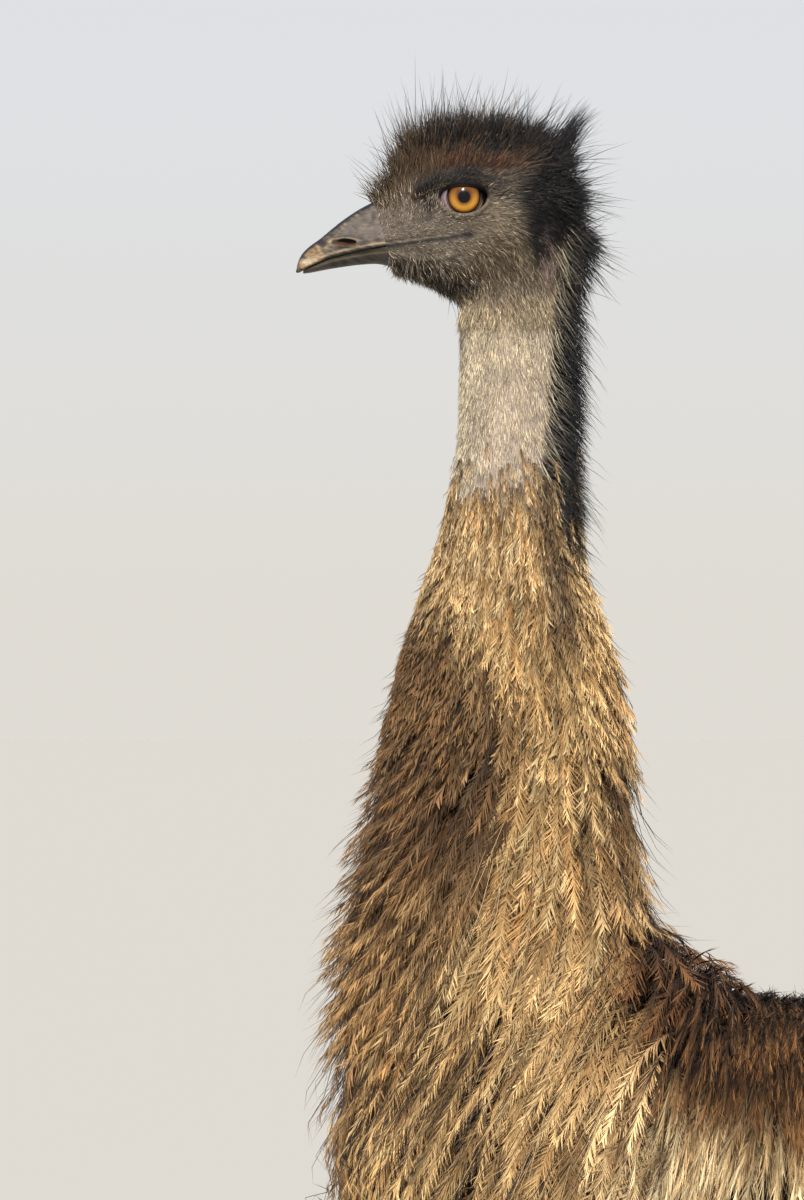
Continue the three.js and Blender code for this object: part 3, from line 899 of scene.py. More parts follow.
rough = ramp(n, l, fine.outputs["Fac"], [(0.3, grey(0.5)), (0.7, grey(0.72))])
l.new(rough.outputs[0], s.inputs["Roughness"])
s.inputs["Specular IOR Level"].default_value = 0.22
b = bump_of(n, l, pebble2.outputs["Distance"], 0.0005, 0.7)
b = bump_of(n, l, pebble.outputs["Distance"], 0.0003, 0.8, b)
b = bump_of(n, l, fine.outputs["Fac"], 0.0002, 0.6, b)
l.new(b, s.inputs["Normal"])

# horn of bill and claws: tint per point, long growth lines, scuffs; its gloss from the point's own number
horn_mat, n, l, s = material("horn")
at = node(n, "ShaderNodeTexCoord").outputs["Object"]
tint = attribute(n, "tint").outputs["Color"]
stretch = node(n, "ShaderNodeMapping")
stretch.inputs["Rotation"].default_value = (0, math.radians(-28), 0)
stretch.inputs["Scale"].default_value = (120, 700, 900)
l.new(at, stretch.inputs["Vector"])
line = noise_of(n, l, stretch.outputs[0], 1.0, 4.0, 0.6)
scuff = noise_of(n, l, at, 420.0, 3.0, 0.6)
wide = noise_of(n, l, at, 110.0, 3.0, 0.55)
c = blended(n, l, "MULTIPLY", tint, ramp(n, l, line.outputs["Fac"], [(0.32, grey(0.42)), (0.62, grey(1.08))]).outputs[0], 0.75)
c = blended(n, l, "MULTIPLY", c, ramp(n, l, wide.outputs["Fac"], [(0.35, grey(0.6)), (0.65, grey(1.05))]).outputs[0], 0.7)
l.new(c, s.inputs["Base Color"])
matte = attribute(n, "matte").outputs["Fac"]
r = maths(n, l, "MULTIPLY_ADD", scuff.outputs["Fac"], 0.3, 0.2)
r = maths(n, l, "MULTIPLY_ADD", matte, 0.32, r)
l.new(r, s.inputs["Roughness"])
s.inputs["Specular IOR Level"].default_value = 0.5
b = bump_of(n, l, line.outputs["Fac"], 0.00035, 0.7)
b = bump_of(n, l, scuff.outputs["Fac"], 0.00022, 0.7, b)
l.new(b, s.inputs["Normal"])

# hair and feathers: tint per point, with a break-up along and between strands
def coat_material(name, rough_low, rough_high, sheen, specular):
    m, n, l, s = material(name)
    at = node(n, "ShaderNodeTexCoord").outputs["Object"]
    tint = attribute(n, "tint").outputs["Color"]
    fleck = noise_of(n, l, at, 650.0, 2.0, 0.6)
    drift = noise_of(n, l, at, 60.0, 3.0, 0.6)
    c = blended(n, l, "MULTIPLY", tint, ramp(n, l, fleck.outputs["Fac"], [(0.3, grey(0.72)), (0.66, grey(1.1))]).outputs[0], 0.8)
    c = blended(n, l, "MULTIPLY", c, ramp(n, l, drift.outputs["Fac"], [(0.35, grey(0.82)), (0.65, grey(1.08))]).outputs[0], 0.8)
    l.new(c, s.inputs["Base Color"])
    r = ramp(n, l, fleck.outputs["Fac"], [(0.3, grey(rough_low)), (0.7, grey(rough_high))])
    l.new(r.outputs[0], s.inputs["Roughness"])
    s.inputs["Specular IOR Level"].default_value = specular
    if sheen:
        s.inputs["Sheen Weight"].default_value = sheen
        s.inputs["Sheen Roughness"].default_value = 0.45
        s.inputs["Sheen Tint"].default_value = (1.0, 0.93, 0.82, 1)
    return m


hair_mat = coat_material("hair", 0.38, 0.6, 0.0, 0.5)
plume_mat = coat_material("plume", 0.5, 0.7, 0.12, 0.35)

# floor
floor_mat, n, l, s = material("floor")
s.inputs["Base Color"].default_value = (*rgb(196, 188, 175), 1)
s.inputs["Roughness"].default_value = 1.0
s.inputs["Specular IOR Level"].default_value = 0.0

floor_mesh = bpy.data.meshes.new("floor")
R = 90.0
floor_mesh.from_pydata([(-R, -R, 0), (R, -R, 0), (R, R, 0), (-R, R, 0)], [], [(0, 1, 2, 3)])
floor = bpy.data.objects.new("floor", floor_mesh)
floor.data.materials.append(floor_mat)
scene.collection.objects.link(floor)
floor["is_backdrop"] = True

world = bpy.data.worlds.new("world")
scene.world = world
world.use_nodes = True
n, l = world.node_tree.nodes, world.node_tree.links
back = n["Background"]
place = node(n, "ShaderNodeTexCoord")
split = node(n, "ShaderNodeSeparateXYZ")
l.new(place.outputs["Generated"], split.inputs[0])
sky = ramp(n, l, split.outputs["Z"], [(0.0, tuple(rgb(237, 233, 225))), (0.05, tuple(rgb(236, 238, 241))), (0.16, tuple(rgb(228, 236, 248))), (0.6, tuple(rgb(190, 210, 240)))])
l.new(sky.outputs[0], back.inputs["Color"])
back.inputs["Strength"].default_value = 0.88


def lamp(name, kind, place, aim, energy, size, colour):
    data = bpy.data.lights.new(name, kind)
    data.energy = energy
    data.color = colour
    if kind == "AREA":
        data.size = size
    else:
        data.angle = size
    obj = bpy.data.objects.new(name, data)
    obj.location = place
    d = np.array(aim, float) - np.array(place, float)
    from mathutils import Vector

    obj.rotation_euler = Vector(d).to_track_quat("-Z", "Y").to_euler()
    scene.collection.objects.link(obj)
    obj.visible_glossy = kind == "SUN"
    return obj


# warm sun from behind the camera, a broad soft panel at the right and a cool one behind
lamp("key", "SUN", (-0.8, -4.2, 4.5), (-0.35, 0, 1.2), 4.4, math.radians(1.6), (1.0, 0.94, 0.84))
lamp("panel", "AREA", (2.6, -3.4, 3.0), (-0.3, 0, 1.2), 60, 2.2, (1.0, 0.95, 0.88))
lamp("rim", "AREA", (-2.6, 2.4, 2.8), (-0.2, 0, 1.1), 45, 2.0, (0.9, 0.95, 1.0))


# ---------------------------------------------------------------- markings and some painted shade: the colour of skin and coat from place alone

C = {
    "black": rgb(20, 18, 19), "blueblack": rgb(27, 27, 36), "darkbrown": rgb(46, 32, 22), "brown": rgb(92, 62, 36),
    "rust": rgb(120, 70, 34), "orange": rgb(164, 104, 52), "tan": rgb(176, 140, 92), "gold": rgb(186, 146, 88),
    "buff": rgb(200, 178, 142), "straw": rgb(214, 192, 152), "lilac": rgb(156, 138, 142), "grey": rgb(104, 94, 86),
    "lores": rgb(110, 99, 88), "cheek": rgb(120, 104, 82), "leg": rgb(92, 82, 72), "pink": rgb(172, 146, 142),
    "darkgrey": rgb(58, 52, 48), "silver": rgb(170, 158, 140),
}


def blob(x, z, u, v, ru, rv, edge=0.35):
    """1 inside an oval of the side view about pixel (u, v), fading to 0 outside."""
    cx, cz = px(u, v)
    k = np.sqrt(((x - cx) / (ru * PX)) ** 2 + ((z - cz) / (rv * PX)) ** 2)
    return step(1 + edge, 1 - edge, k)


def skin_tint(p):
    """Skin colour at table points."""
    x, y, z = p[:, 0], np.abs(p[:, 1]), p[:, 2]
    w = noise3(p, 9, 3) * 0.5 + noise3(p, 4, 4) * 0.3
    c = np.repeat(C["lores"][None], len(p), 0)
    c = mix(c, C["cheek"], step(px(455, 0)[0], px(500, 0)[0], x + w * 6) * 0.8)
    c = mix(c, C["darkgrey"], blob(x, z, 424, 203, 15, 20) * 0.9)  # painted shade in the hollow before the eye
    c = mix(c, C["darkbrown"], blob(x, z, 463, 203, 33, 27, 0.3) * 0.5)  # about the eye
    # black along the brow: dark skin, deepened as painted shadow above the eye
    dist, s = line_distance(x, z, [(418, 193), (440, 183.5), (463, 180.5), (484, 184), (503, 197)])
    c = mix(c, C["black"], np.exp(-((dist / 4.4) ** 2)) * 0.97)
    # painted shadow in the front corner of the eye
    c = mix(c, C["black"], blob(x, z, 428, 203, 5, 12) * 0.8)
    o = opening(x, z)
    c = mix(c, C["black"], step(2.6, 0.6, o) * step(-2, 2, z - EYE_Z) * 0.95)
    c = mix(c, rgb(150, 134, 118), step(2.2, 1.2, np.abs(o - 0.4) * 2.2) * step(0, -4, z - EYE_Z) * 0.6)
    crown_line = 1646 + 0.06 * (x + 330)
    c = mix(c, C["black"], step(-6, 8, z - crown_line + w * 5))
    c = mix(c, C["black"], np.maximum(blob(x, z, 539, 226, 17, 32), blob(x, z, 538, 203, 21, 34)) * 0.97)
    # under the bill and down the throat
    c = mix(c, C["brown"] * 0.7, step(4, -4, z - np.interp(x, [-441, -385, -360, -330, -300], [1576, 1586, 1584, 1580, 1578])) * 0.7)
    dist, s = line_distance(x, z, MOUTH)
    c = mix(c, C["black"] * 0.7, np.exp(-((dist / 2.5) ** 2)) * 0.99)
    dist, s = line_distance(x, z, MOUTH_UPPER)
    c = mix(c, C["black"], np.exp(-((dist / 1.0) ** 2)) * 0.85 * step(0, 0.06, s))
    dist, s = line_distance(x, z, [(u, v - 2.2) for u, v in MOUTH[4:]])
    c = mix(c, C["silver"] * 0.8, np.exp(-((dist / 0.9) ** 2)) * 0.75 * step(1.0, 0.9, s))
    dist, s = line_distance(x, z, JAW_FOLD)
    c = mix(c, C["silver"] * 0.75, np.exp(-((dist / 1.2) ** 2)) * 0.5)
    # neck: lilac skin, pinker behind the ear
    neck = step(1575, 1552, z)
    c = mix(c, rgb(190, 172, 164), neck * 0.9)
    c = mix(c, C["pink"], blob(x, z, 551, 268, 13, 36) * 0.75)
    # painted shade: dark skin under the coat from the lower neck down, so gaps between feathers look shadowed
    c = mix(c, C["darkbrown"], step(1420, 1380, z))
    back_line = np.interp(z, [1380, 1423, 1523, 1600, 1640], [-262, -264.5, -263, -258, -262])
    c = mix(c, C["black"], step(-5, -1, x - back_line) * step(1390, 1420, z))
    c = mix(c, C["leg"] * 0.6, step(475, 440, z))
    speck = noise3(p, 1.5, 5) * step(1575, 1590, z) * step(-300, -330, x)
    return c * (1 + 0.12 * w[:, None]) * (1 + 0.5 * speck[:, None]).clip(0.5, 1.6)


# ---------------------------------------------------------------- horn of the bill

bx = np.arange(-443.5, -366, 0.62)
by = np.arange(-22.3, 22.4, 0.62)
bz = np.arange(1572, 1640, 0.62)
BX, BY, BZ = bx[:, None, None], by[None, :, None], bz[None, None, :]
seam = behind_bill(BX, BZ)
bill_grid = np.maximum(head_field(BX, BY, BZ) + 0.22 * step(-0.6, 1.2, seam), seam - 3.2).astype(np.float32)
mouth_z = np.interp(BX, [px(*q)[0] for q in MOUTH], [px(*q)[1] for q in MOUTH])


def horn_tint(p):
    x, z = p[:, 0], p[:, 2]
    w = noise3(p, 5, 8)
    run = x * 0.88 - z * 0.47  # along the bill
    cross = x * 0.47 + z * 0.88
    q = np.stack([run * 0.16, p[:, 1] * 0.5, cross], -1)
    streak = noise3(q, 2.2, 61) * 0.6 + noise3(q, 1.1, 62) * 0.4
    base = np.repeat(rgb(96, 83, 67)[None], len(p), 0)
    base = mix(base, rgb(176, 150, 112), step(0.05, 0.4, streak) * 0.55)
    base = mix(base, rgb(44, 36, 28), step(-0.02, -0.38, streak) * 0.8)
    tip = step(-416, -434, x + 0.3 * (z - 1590))
    base = mix(base, mix(np.repeat(rgb(164, 128, 82)[None], len(p), 0), rgb(62, 42, 26), step(0.2, -0.45, streak)), tip * 0.62)
    # painted highlight on the horn near the tip
    base = mix(base, rgb(226, 208, 178), blob(x, z, 309, 262, 7, 3.2, 0.8) * 0.7)
    edge = step(-438.5, -441, x)
    base = mix(base, rgb(20, 20, 28), edge * 0.8)
    base = mix(base, C["grey"] * 0.95, fossa(x, z) * 0.9)
    top = np.interp(x, [-441.2, -437.2, -431.8, -425, -411.4, -397.8, -384, -372], [1580, 1590.2, 1595.6, 1600.5, 1611.7, 1620.9, 1628, 1637])
    culmen = step(3.4, 1.2, top - z + 0.5 * w)
    base = mix(base, rgb(24, 24, 34), culmen * step(-441, -436, x) * 0.92)
    base = mix(base, mix(C["lores"][None], C["darkgrey"][None], step(0.0, 0.7, noise3(p, 3.5, 63)) * 0.8), step(-11, -1, behind_bill(x, z)) * (1 - culmen) * 0.9)
    m = np.interp(x, [px(*q)[0] for q in MOUTH], [px(*q)[1] for q in MOUTH])
    low = step(1.0, -1.0, z - m)
    base = mix(base, mix(np.repeat(rgb(50, 42, 31)[None], len(p), 0), rgb(20, 17, 14), step(0.05, -0.35, streak)), low * 0.96)
    # painted highlight along the lower jaw's edge, under the mouth line
    base = mix(base, rgb(150, 136, 108), np.exp(-(((z - m + 2.6 + 0.05 * (x + 410)) / 0.7) ** 2)) * low * 0.28 * step(-434, -426, x))
    base = mix(base, C["black"], np.exp(-(((z - m) / 1.2) ** 2)) * 0.9)
    dist, s = line_distance(x, z, [(u, v - 4.4) for u, v in MOUTH[1:6]])
    base = mix(base, rgb(176, 154, 120), np.exp(-((dist / 0.8) ** 2)) * 0.55)
    dist, s = line_distance(x, z, [(u, v - 7.0) for u, v in MOUTH[2:6]])
    base = mix(base, rgb(40, 32, 26), np.exp(-((dist / 0.9) ** 2)) * 0.6)
    nx, nz = NOSTRIL_AT
    k = np.sqrt(((x - nx) / 8.6) ** 2 + ((z - nz + 0.05 * np.abs(x - nx)) / 2.4) ** 2)
    base = mix(base, rgb(176, 150, 112), np.exp(-(((k - 1.25) / 0.2) ** 2)) * 0.38 * np.maximum(step(0.3, 1.0, z - nz), step(-2, -7, x - nx)))
    base = mix(base, rgb(30, 24, 20), np.exp(-(((k - 1.75) / 0.3) ** 2)) * 0.45)
    inner = mix(np.repeat(rgb(20, 12, 9)[None], len(p), 0), rgb(96, 54, 26), step(0.2, -1.2, z - nz))
    base = mix(base, inner, step(1.08, 0.92, k))
    return base * (1 + 0.1 * w[:, None])


def horn_matte(p):
    return np.clip(step(-436, -405, p[:, 0]) * 0.75 + fossa(p[:, 0], p[:, 2]), 0, 1.2)


for name, sign in (("bill_upper", 1), ("bill_lower", -1)):
    g = np.maximum(bill_grid, -sign * (BZ - mouth_z) + 0.12).astype(np.float32)
    if sign < 0:  # the lower jaw stays just inside the upper's tip
        g = np.maximum(g, -436.5 - BX).astype(np.float32)
    pts, tris = surface(bx, by, bz, g, 1)
    piece = build(name + "_horn", pts, tris, horn_tint(pts), {"matte": horn_matte(pts)})
    piece.data.materials.append(horn_mat)
    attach(piece, "root")
    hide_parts(name)


# ---------------------------------------------------------------- eyes

eye_mat, n, l, s = material("eye")
tint = attribute(n, "tint").outputs["Color"]
ray = attribute(n, "round").outputs["Fac"]
far = attribute(n, "out").outputs["Fac"]
mixer = node(n, "ShaderNodeCombineXYZ")
l.new(maths(n, l, "MULTIPLY", ray, 16.0), mixer.inputs[0])
l.new(maths(n, l, "MULTIPLY", far, 1.6), mixer.inputs[1])
fibres = noise_of(n, l, mixer.outputs[0], 3.0, 3.0, 0.65)
c = blended(n, l, "MULTIPLY", tint, ramp(n, l, fibres.outputs["Fac"], [(0.3, grey(0.5)), (0.68, grey(1.15))]).outputs[0], 0.6)
l.new(c, s.inputs["Base Color"])
s.inputs["Roughness"].default_value = 0.22
s.inputs["Coat Weight"].default_value = 0.7
s.inputs["Coat Roughness"].default_value = 0.03
s.inputs["Coat IOR"].default_value = 1.34
s.inputs["Specular IOR Level"].default_value = 0.08

rows, around = 74, 120
rho = np.linspace(0, 1, rows) ** 0.9 * 17.2
ang = np.arange(around) / around * 2 * np.pi
RH, AN = np.meshgrid(rho, ang, indexing="ij")
out = EYE_Y + np.sqrt(EYE_R**2 - RH**2)
out += 0.9 * np.clip(1 - (RH / 11.9) ** 2, 0, 1) ** 0.8 - 0.35 * np.exp(-(((RH - 12.3) / 0.8) ** 2))
eye_pts = np.stack([EYE_X + RH * np.cos(AN), out, EYE_Z + RH * np.sin(AN)], -1).reshape(-1, 3)
i, j = np.meshgrid(np.arange(rows - 1), np.arange(around), indexing="ij")
a, b = i * around + j, i * around + (j + 1) % around
c_, d_ = (i + 1) * around + (j + 1) % around, (i + 1) * around + j
eye_tris = np.concatenate([np.stack([a, c_, b], -1).reshape(-1, 3), np.stack([a, d_, c_], -1).reshape(-1, 3)])
keep = eye_tris[:, 0] != eye_tris[:, 1]
rim = np.arange(around) + (rows - 1) * around
eye_pts = np.vstack([eye_pts, eye_pts[rim] * [1, 0, 1] + [0, 19.7, 0], [[EYE_X, 19.7, EYE_Z]]])
under = np.arange(around) + rows * around
centre = len(eye_pts) - 1
nxt = np.roll(np.arange(around), -1)
eye_tris = np.concatenate([eye_tris, np.stack([rim, under[nxt], rim[nxt]], -1), np.stack([rim, under, under[nxt]], -1), np.stack([under, np.full(around, centre), under[nxt]], -1)])
ex, ez = eye_pts[:, 0] - EYE_X, eye_pts[:, 2] - EYE_Z
r = np.hypot(ex, ez)
theta = np.arctan2(ez, ex)
tint_eye = np.repeat(rgb(16, 13, 12)[None], len(r), 0)
# the iris darker at its top as painted shadow of the upper lid, golden below
iris = mix(rgb(104, 64, 26)[None], rgb(186, 130, 46)[None], step(0.8, -0.7, np.sin(theta)))
iris = mix(iris, rgb(80, 42, 16)[None], step(8.2, 10.4, r) * 0.9)
iris = mix(iris, rgb(70, 38, 16)[None], step(7.2, 4.0, r) * 0.85)
tint_eye = np.where((r < 10.4)[:, None], iris, tint_eye)
tint_eye = mix(tint_eye, rgb(5, 5, 8)[None], step(4.5, 3.9, r))
tint_eye = mix(tint_eye, rgb(176, 146, 112)[None], np.exp(-(((r - 11.5) / 0.26) ** 2)) * 0.6 * step(0.3, -0.4, np.sin(theta)))
corner = step(11.7, 12.5, r) * step(-0.25, -0.75, np.cos(theta))
tint_eye = mix(tint_eye, rgb(150, 128, 142)[None], corner * 0.9)
low_rim = np.exp(-(((r - 12.6) / 0.5) ** 2)) * step(0.0, -0.6, np.sin(theta))
tint_eye = mix(tint_eye, rgb(168, 150, 132)[None], low_rim * 0.8)
for name, side in (("left", -1), ("right", 1)):
    pts = eye_pts.copy()
    pts[:, 1] *= side
    tris = eye_tris if side > 0 else eye_tris[:, ::-1]
    # the first rows meet at the front point
    piece = build("eyeball_" + name, pts, tris, tint_eye, {"round": theta / np.pi, "out": r / 10})
    piece.data.materials.append(eye_mat)
    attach(piece, "root")
    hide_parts("eye_" + name)

# the lids' margins: a soft rim about each opening
m = 150
phi = np.arange(m) / m * 2 * np.pi


def opening_edge(grow):
    pts = []
    for t in phi:
        lo, hi = 2.0, 24.0
        for _ in range(26):
            mid = (lo + hi) / 2
            if opening(EYE_X + mid * math.cos(t), EYE_Z + mid * math.sin(t)) < grow:
                lo = mid
            else:
                hi = mid
        pts.append((EYE_X + lo * math.cos(t), EYE_Z + lo * math.sin(t)))
    return np.array(pts)


edge = opening_edge(0.25)
tube_r = 0.6 + 0.8 * step(-0.2, 0.7, np.sin(phi))
ring_x, ring_z = edge[:, 0], edge[:, 1]
rr = np.hypot(ring_x - EYE_X, ring_z - EYE_Z)
ring_y = EYE_Y + np.sqrt(np.maximum((EYE_R + 0.9) ** 2 - rr**2, 1))
line_pts = np.stack([ring_x, ring_y, ring_z], -1)
tangent = unit(np.roll(line_pts, -1, 0) - np.roll(line_pts, 1, 0))
outward = unit(line_pts - np.array([EYE_X, EYE_Y, EYE_Z]))
across = np.cross(tangent, outward)
k = 10
turn = np.arange(k) / k * 2 * np.pi
tube = line_pts[:, None] + tube_r[:, None, None] * (np.cos(turn)[None, :, None] * outward[:, None] * 1.0 + np.sin(turn)[None, :, None] * across[:, None] * 1.25)
i, j = np.meshgrid(np.arange(m), np.arange(k), indexing="ij")
a, b = i * k + j, ((i + 1) % m) * k + j
c_, d_ = ((i + 1) % m) * k + (j + 1) % k, i * k + (j + 1) % k
lid_tris = np.concatenate([np.stack([a, b, c_], -1).reshape(-1, 3), np.stack([a, c_, d_], -1).reshape(-1, 3)])
lid_pts = tube.reshape(-1, 3)
below = np.repeat(step(0.12, -0.35, np.sin(phi)), k)
lid_tint = mix(rgb(14, 12, 12)[None], rgb(128, 110, 92)[None], below * 0.6)
for name, side in (("left", -1), ("right", 1)):
    pts = lid_pts.copy()
    pts[:, 1] *= side
    piece = build("lid_rim_" + name, pts, lid_tris if side > 0 else lid_tris[:, ::-1], lid_tint)
    piece.data.materials.append(skin_mat)
    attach(piece, "root")


# ---------------------------------------------------------------- the one skin

leg_parts = []
for name, (side, foot_x) in FEET.items():
    q = leg_to_bird(leg_pts, name)
    leg_parts.append((q, leg_tris if side > 0 else leg_tris[:, ::-1]))
all_pts, all_tris = joined([(skin_pts, skin_tris)] + leg_parts)
skin = build("skin", all_pts, all_tris, skin_tint(all_pts))
skin.data.materials.append(skin_mat)
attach(skin, "root")
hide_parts("head", "neck_upper", "neck_lower", "trunk", "tail", *[f"{k}_{s}" for k in ("wing", "thigh", "shank", "foot", "toe_middle", "toe_inner", "toe_outer") for s in ("left", "right")])
print("skin tris", len(all_tris))
scene.view_settings.view_transform = "Standard"


# ---------------------------------------------------------------- how the coat grows


def roots_on(pts, tris, weight, count, spacing, seed, edges=None):
    """Root points spread over a surface, denser where weight is higher, and no two in one small cell."""
    r = np.random.default_rng(seed)
    a, b, c = pts[tris[:, 0]], pts[tris[:, 1]], pts[tris[:, 2]]
    area = np.linalg.norm(np.cross(b - a, c - a), axis=1) / 2
    w = area * weight((a + b + c) / 3)
    total = w.sum()
    if total <= 0:
        return np.zeros((0, 3))
    pick = r.choice(len(tris), size=int(count), p=w / total)
    u, v = r.random(len(pick)), r.random(len(pick))
    over = u + v > 1
    u[over], v[over] = 1 - u[over], 1 - v[over]
    p = a[pick] + u[:, None] * (b - a)[pick] + v[:, None] * (c - a)[pick]
    if spacing:
        cell = np.floor(p / spacing).astype(np.int64)
        key = (cell[:, 0] * 73856093) ^ (cell[:, 1] * 19349663) ^ (cell[:, 2] * 83492791)
        _, first = np.unique(key, return_index=True)
        p = p[np.sort(first)]
    return p


def unwrap(p):
    """Where a root lies on an unrolling of the skin: round the neck and up it, or round the trunk and along it."""
    x, y, z = p[:, 0], p[:, 1], p[:, 2]
    neck_u = (np.arctan2(y, -(x + 296)) / (2 * np.pi) + 0.5) * 0.46 + 0.02
    neck_v = np.clip((z - 1080) / 620, 0, 1) * 0.96 + 0.02
    body_u = (np.arctan2(y, z - 860) / (2 * np.pi) + 0.5) * 0.46 + 0.51
    body_v = np.clip((x + 430) / 900, 0, 1) * 0.62 + 0.36
    leg_u = (np.arctan2(y - np.sign(y) * 92, x - 60) / (2 * np.pi) + 0.5) * 0.22 + 0.51 + 0.24 * (y > 0)
    leg_v = np.clip((z - 420) / 260, 0, 1) * 0.32 + 0.02
    on_neck = z > 1100
    on_leg = z < 640
    return np.stack([
        np.where(on_neck, neck_u, np.where(on_leg, leg_u, body_u)),
        np.where(on_neck, neck_v, np.where(on_leg, leg_v, body_v)),
    ], -1)


PATCH = 0.003


def frames(path, normal):
    """Along, outward and sideways directions at each point of paths (N, K, 3)."""
    t = np.empty_like(path)
    t[:, 1:-1] = path[:, 2:] - path[:, :-2]
    t[:, 0] = path[:, 1] - path[:, 0]
    t[:, -1] = path[:, -1] - path[:, -2]
    t = unit(t)
    if normal.ndim == 2:
        normal = np.repeat(normal[:, None], path.shape[1], 1)
    n = normal - t * dot(normal, t)
    n = unit(n)
    return t, n, np.cross(t, n)


def needles(path, normal, radius, profile, colour, uv0, a0=0.5, spread=1.0, b_range=None):
    """Three-sided tapering hairs along paths (N, K+1, 3). colour is (N, K+1, 3)."""
    n, k1, _ = path.shape
    k = k1 - 1
    t, up, side = frames(path, normal)
    rings = []
    for j in range(3):
        ang = 2 * np.pi * j / 3 + np.pi / 2
        rings.append(path[:, :-1] + (np.cos(ang) * side[:, :-1] + np.sin(ang) * up[:, :-1]) * (radius[:, None] * profile[None, :-1])[..., None])
    ring = np.stack(rings, 2).reshape(n, k * 3, 3)
    pts = np.concatenate([ring, path[:, -1:]], 1).reshape(-1, 3)
    per = k * 3 + 1
    col = np.concatenate([np.repeat(colour[:, :-1], 3, axis=1), colour[:, -1:]], 1).reshape(-1, 3)
    b = np.arange(k1) / k
    if b_range is not None:
        b = b_range[:, :1] + (b_range[:, 1:] - b_range[:, :1]) * b[None]
    else:
        b = np.repeat(b[None], n, 0)
    a_side = np.array([-0.5, 0.0, 0.5]) * spread
    a_ring = np.broadcast_to(np.reshape(a0, (-1, 1, 1)) + a_side[None, None], (n, k, 3)).reshape(n, -1)
    a_tip = np.broadcast_to(np.reshape(a0, (-1, 1)), (n, 1))
    a = np.concatenate([a_ring, a_tip], 1)
    bb = np.concatenate([np.repeat(b[:, :-1], 3, axis=1), b[:, -1:]], 1)
    uv = uv0[:, None] + np.stack([(a - 0.5) * PATCH, bb * PATCH], -1)
    tri = []
    for s in range(k - 1):
        for j in range(3):
            p, q = s * 3 + j, s * 3 + (j + 1) % 3
            tri += [(p, q, q + 3), (p, q + 3, p + 3)]
    for j in range(3):
        tri.append(((k - 1) * 3 + j, (k - 1) * 3 + (j + 1) % 3, k * 3))
    tris = (np.array(tri)[None] + (np.arange(n) * per)[:, None, None]).reshape(-1, 3)
    return pts, tris, col, uv.reshape(-1, 2)


def hair_paths(root, direction, normal, length, segs, rise, follow, sag, curl, seed, field=whole, cap=None):
    """Hairs from their roots: they rise from the skin, bend with their weight and keep off it."""
    r = np.random.default_rng(seed)
    n = len(root)
    t = unit(direction - normal * dot(direction, normal))
    ang = np.asarray(rise)[:, None] * np.ones((n, 1))
    d = unit(t * np.cos(ang) + normal * np.sin(ang))
    p = root - normal * 0.4
    out = [p]
    wave = r.normal(size=(n, 3)) * np.asarray(curl)[..., None]
    for s in range(segs):
        w = (s + 0.5) / segs
        d = unit(d + wave * (1 if s % 2 else -0.7) + np.array([0, 0, -1.0]) * (np.asarray(sag) * w)[..., None] + (t - d) * (np.asarray(follow) * w)[..., None])
        p = p + d * (length / segs)[:, None]
        g = unit(field.slope(p, 1.5))
        h = field.at(p)
        want = 0.25 + 0.25 * w
        p = p + g * np.maximum(want - h, 0)[:, None]
        if cap is not None:
            p = p - g * np.maximum(h - cap, 0)[:, None]
        out.append(p)
    return np.stack(out, 1)


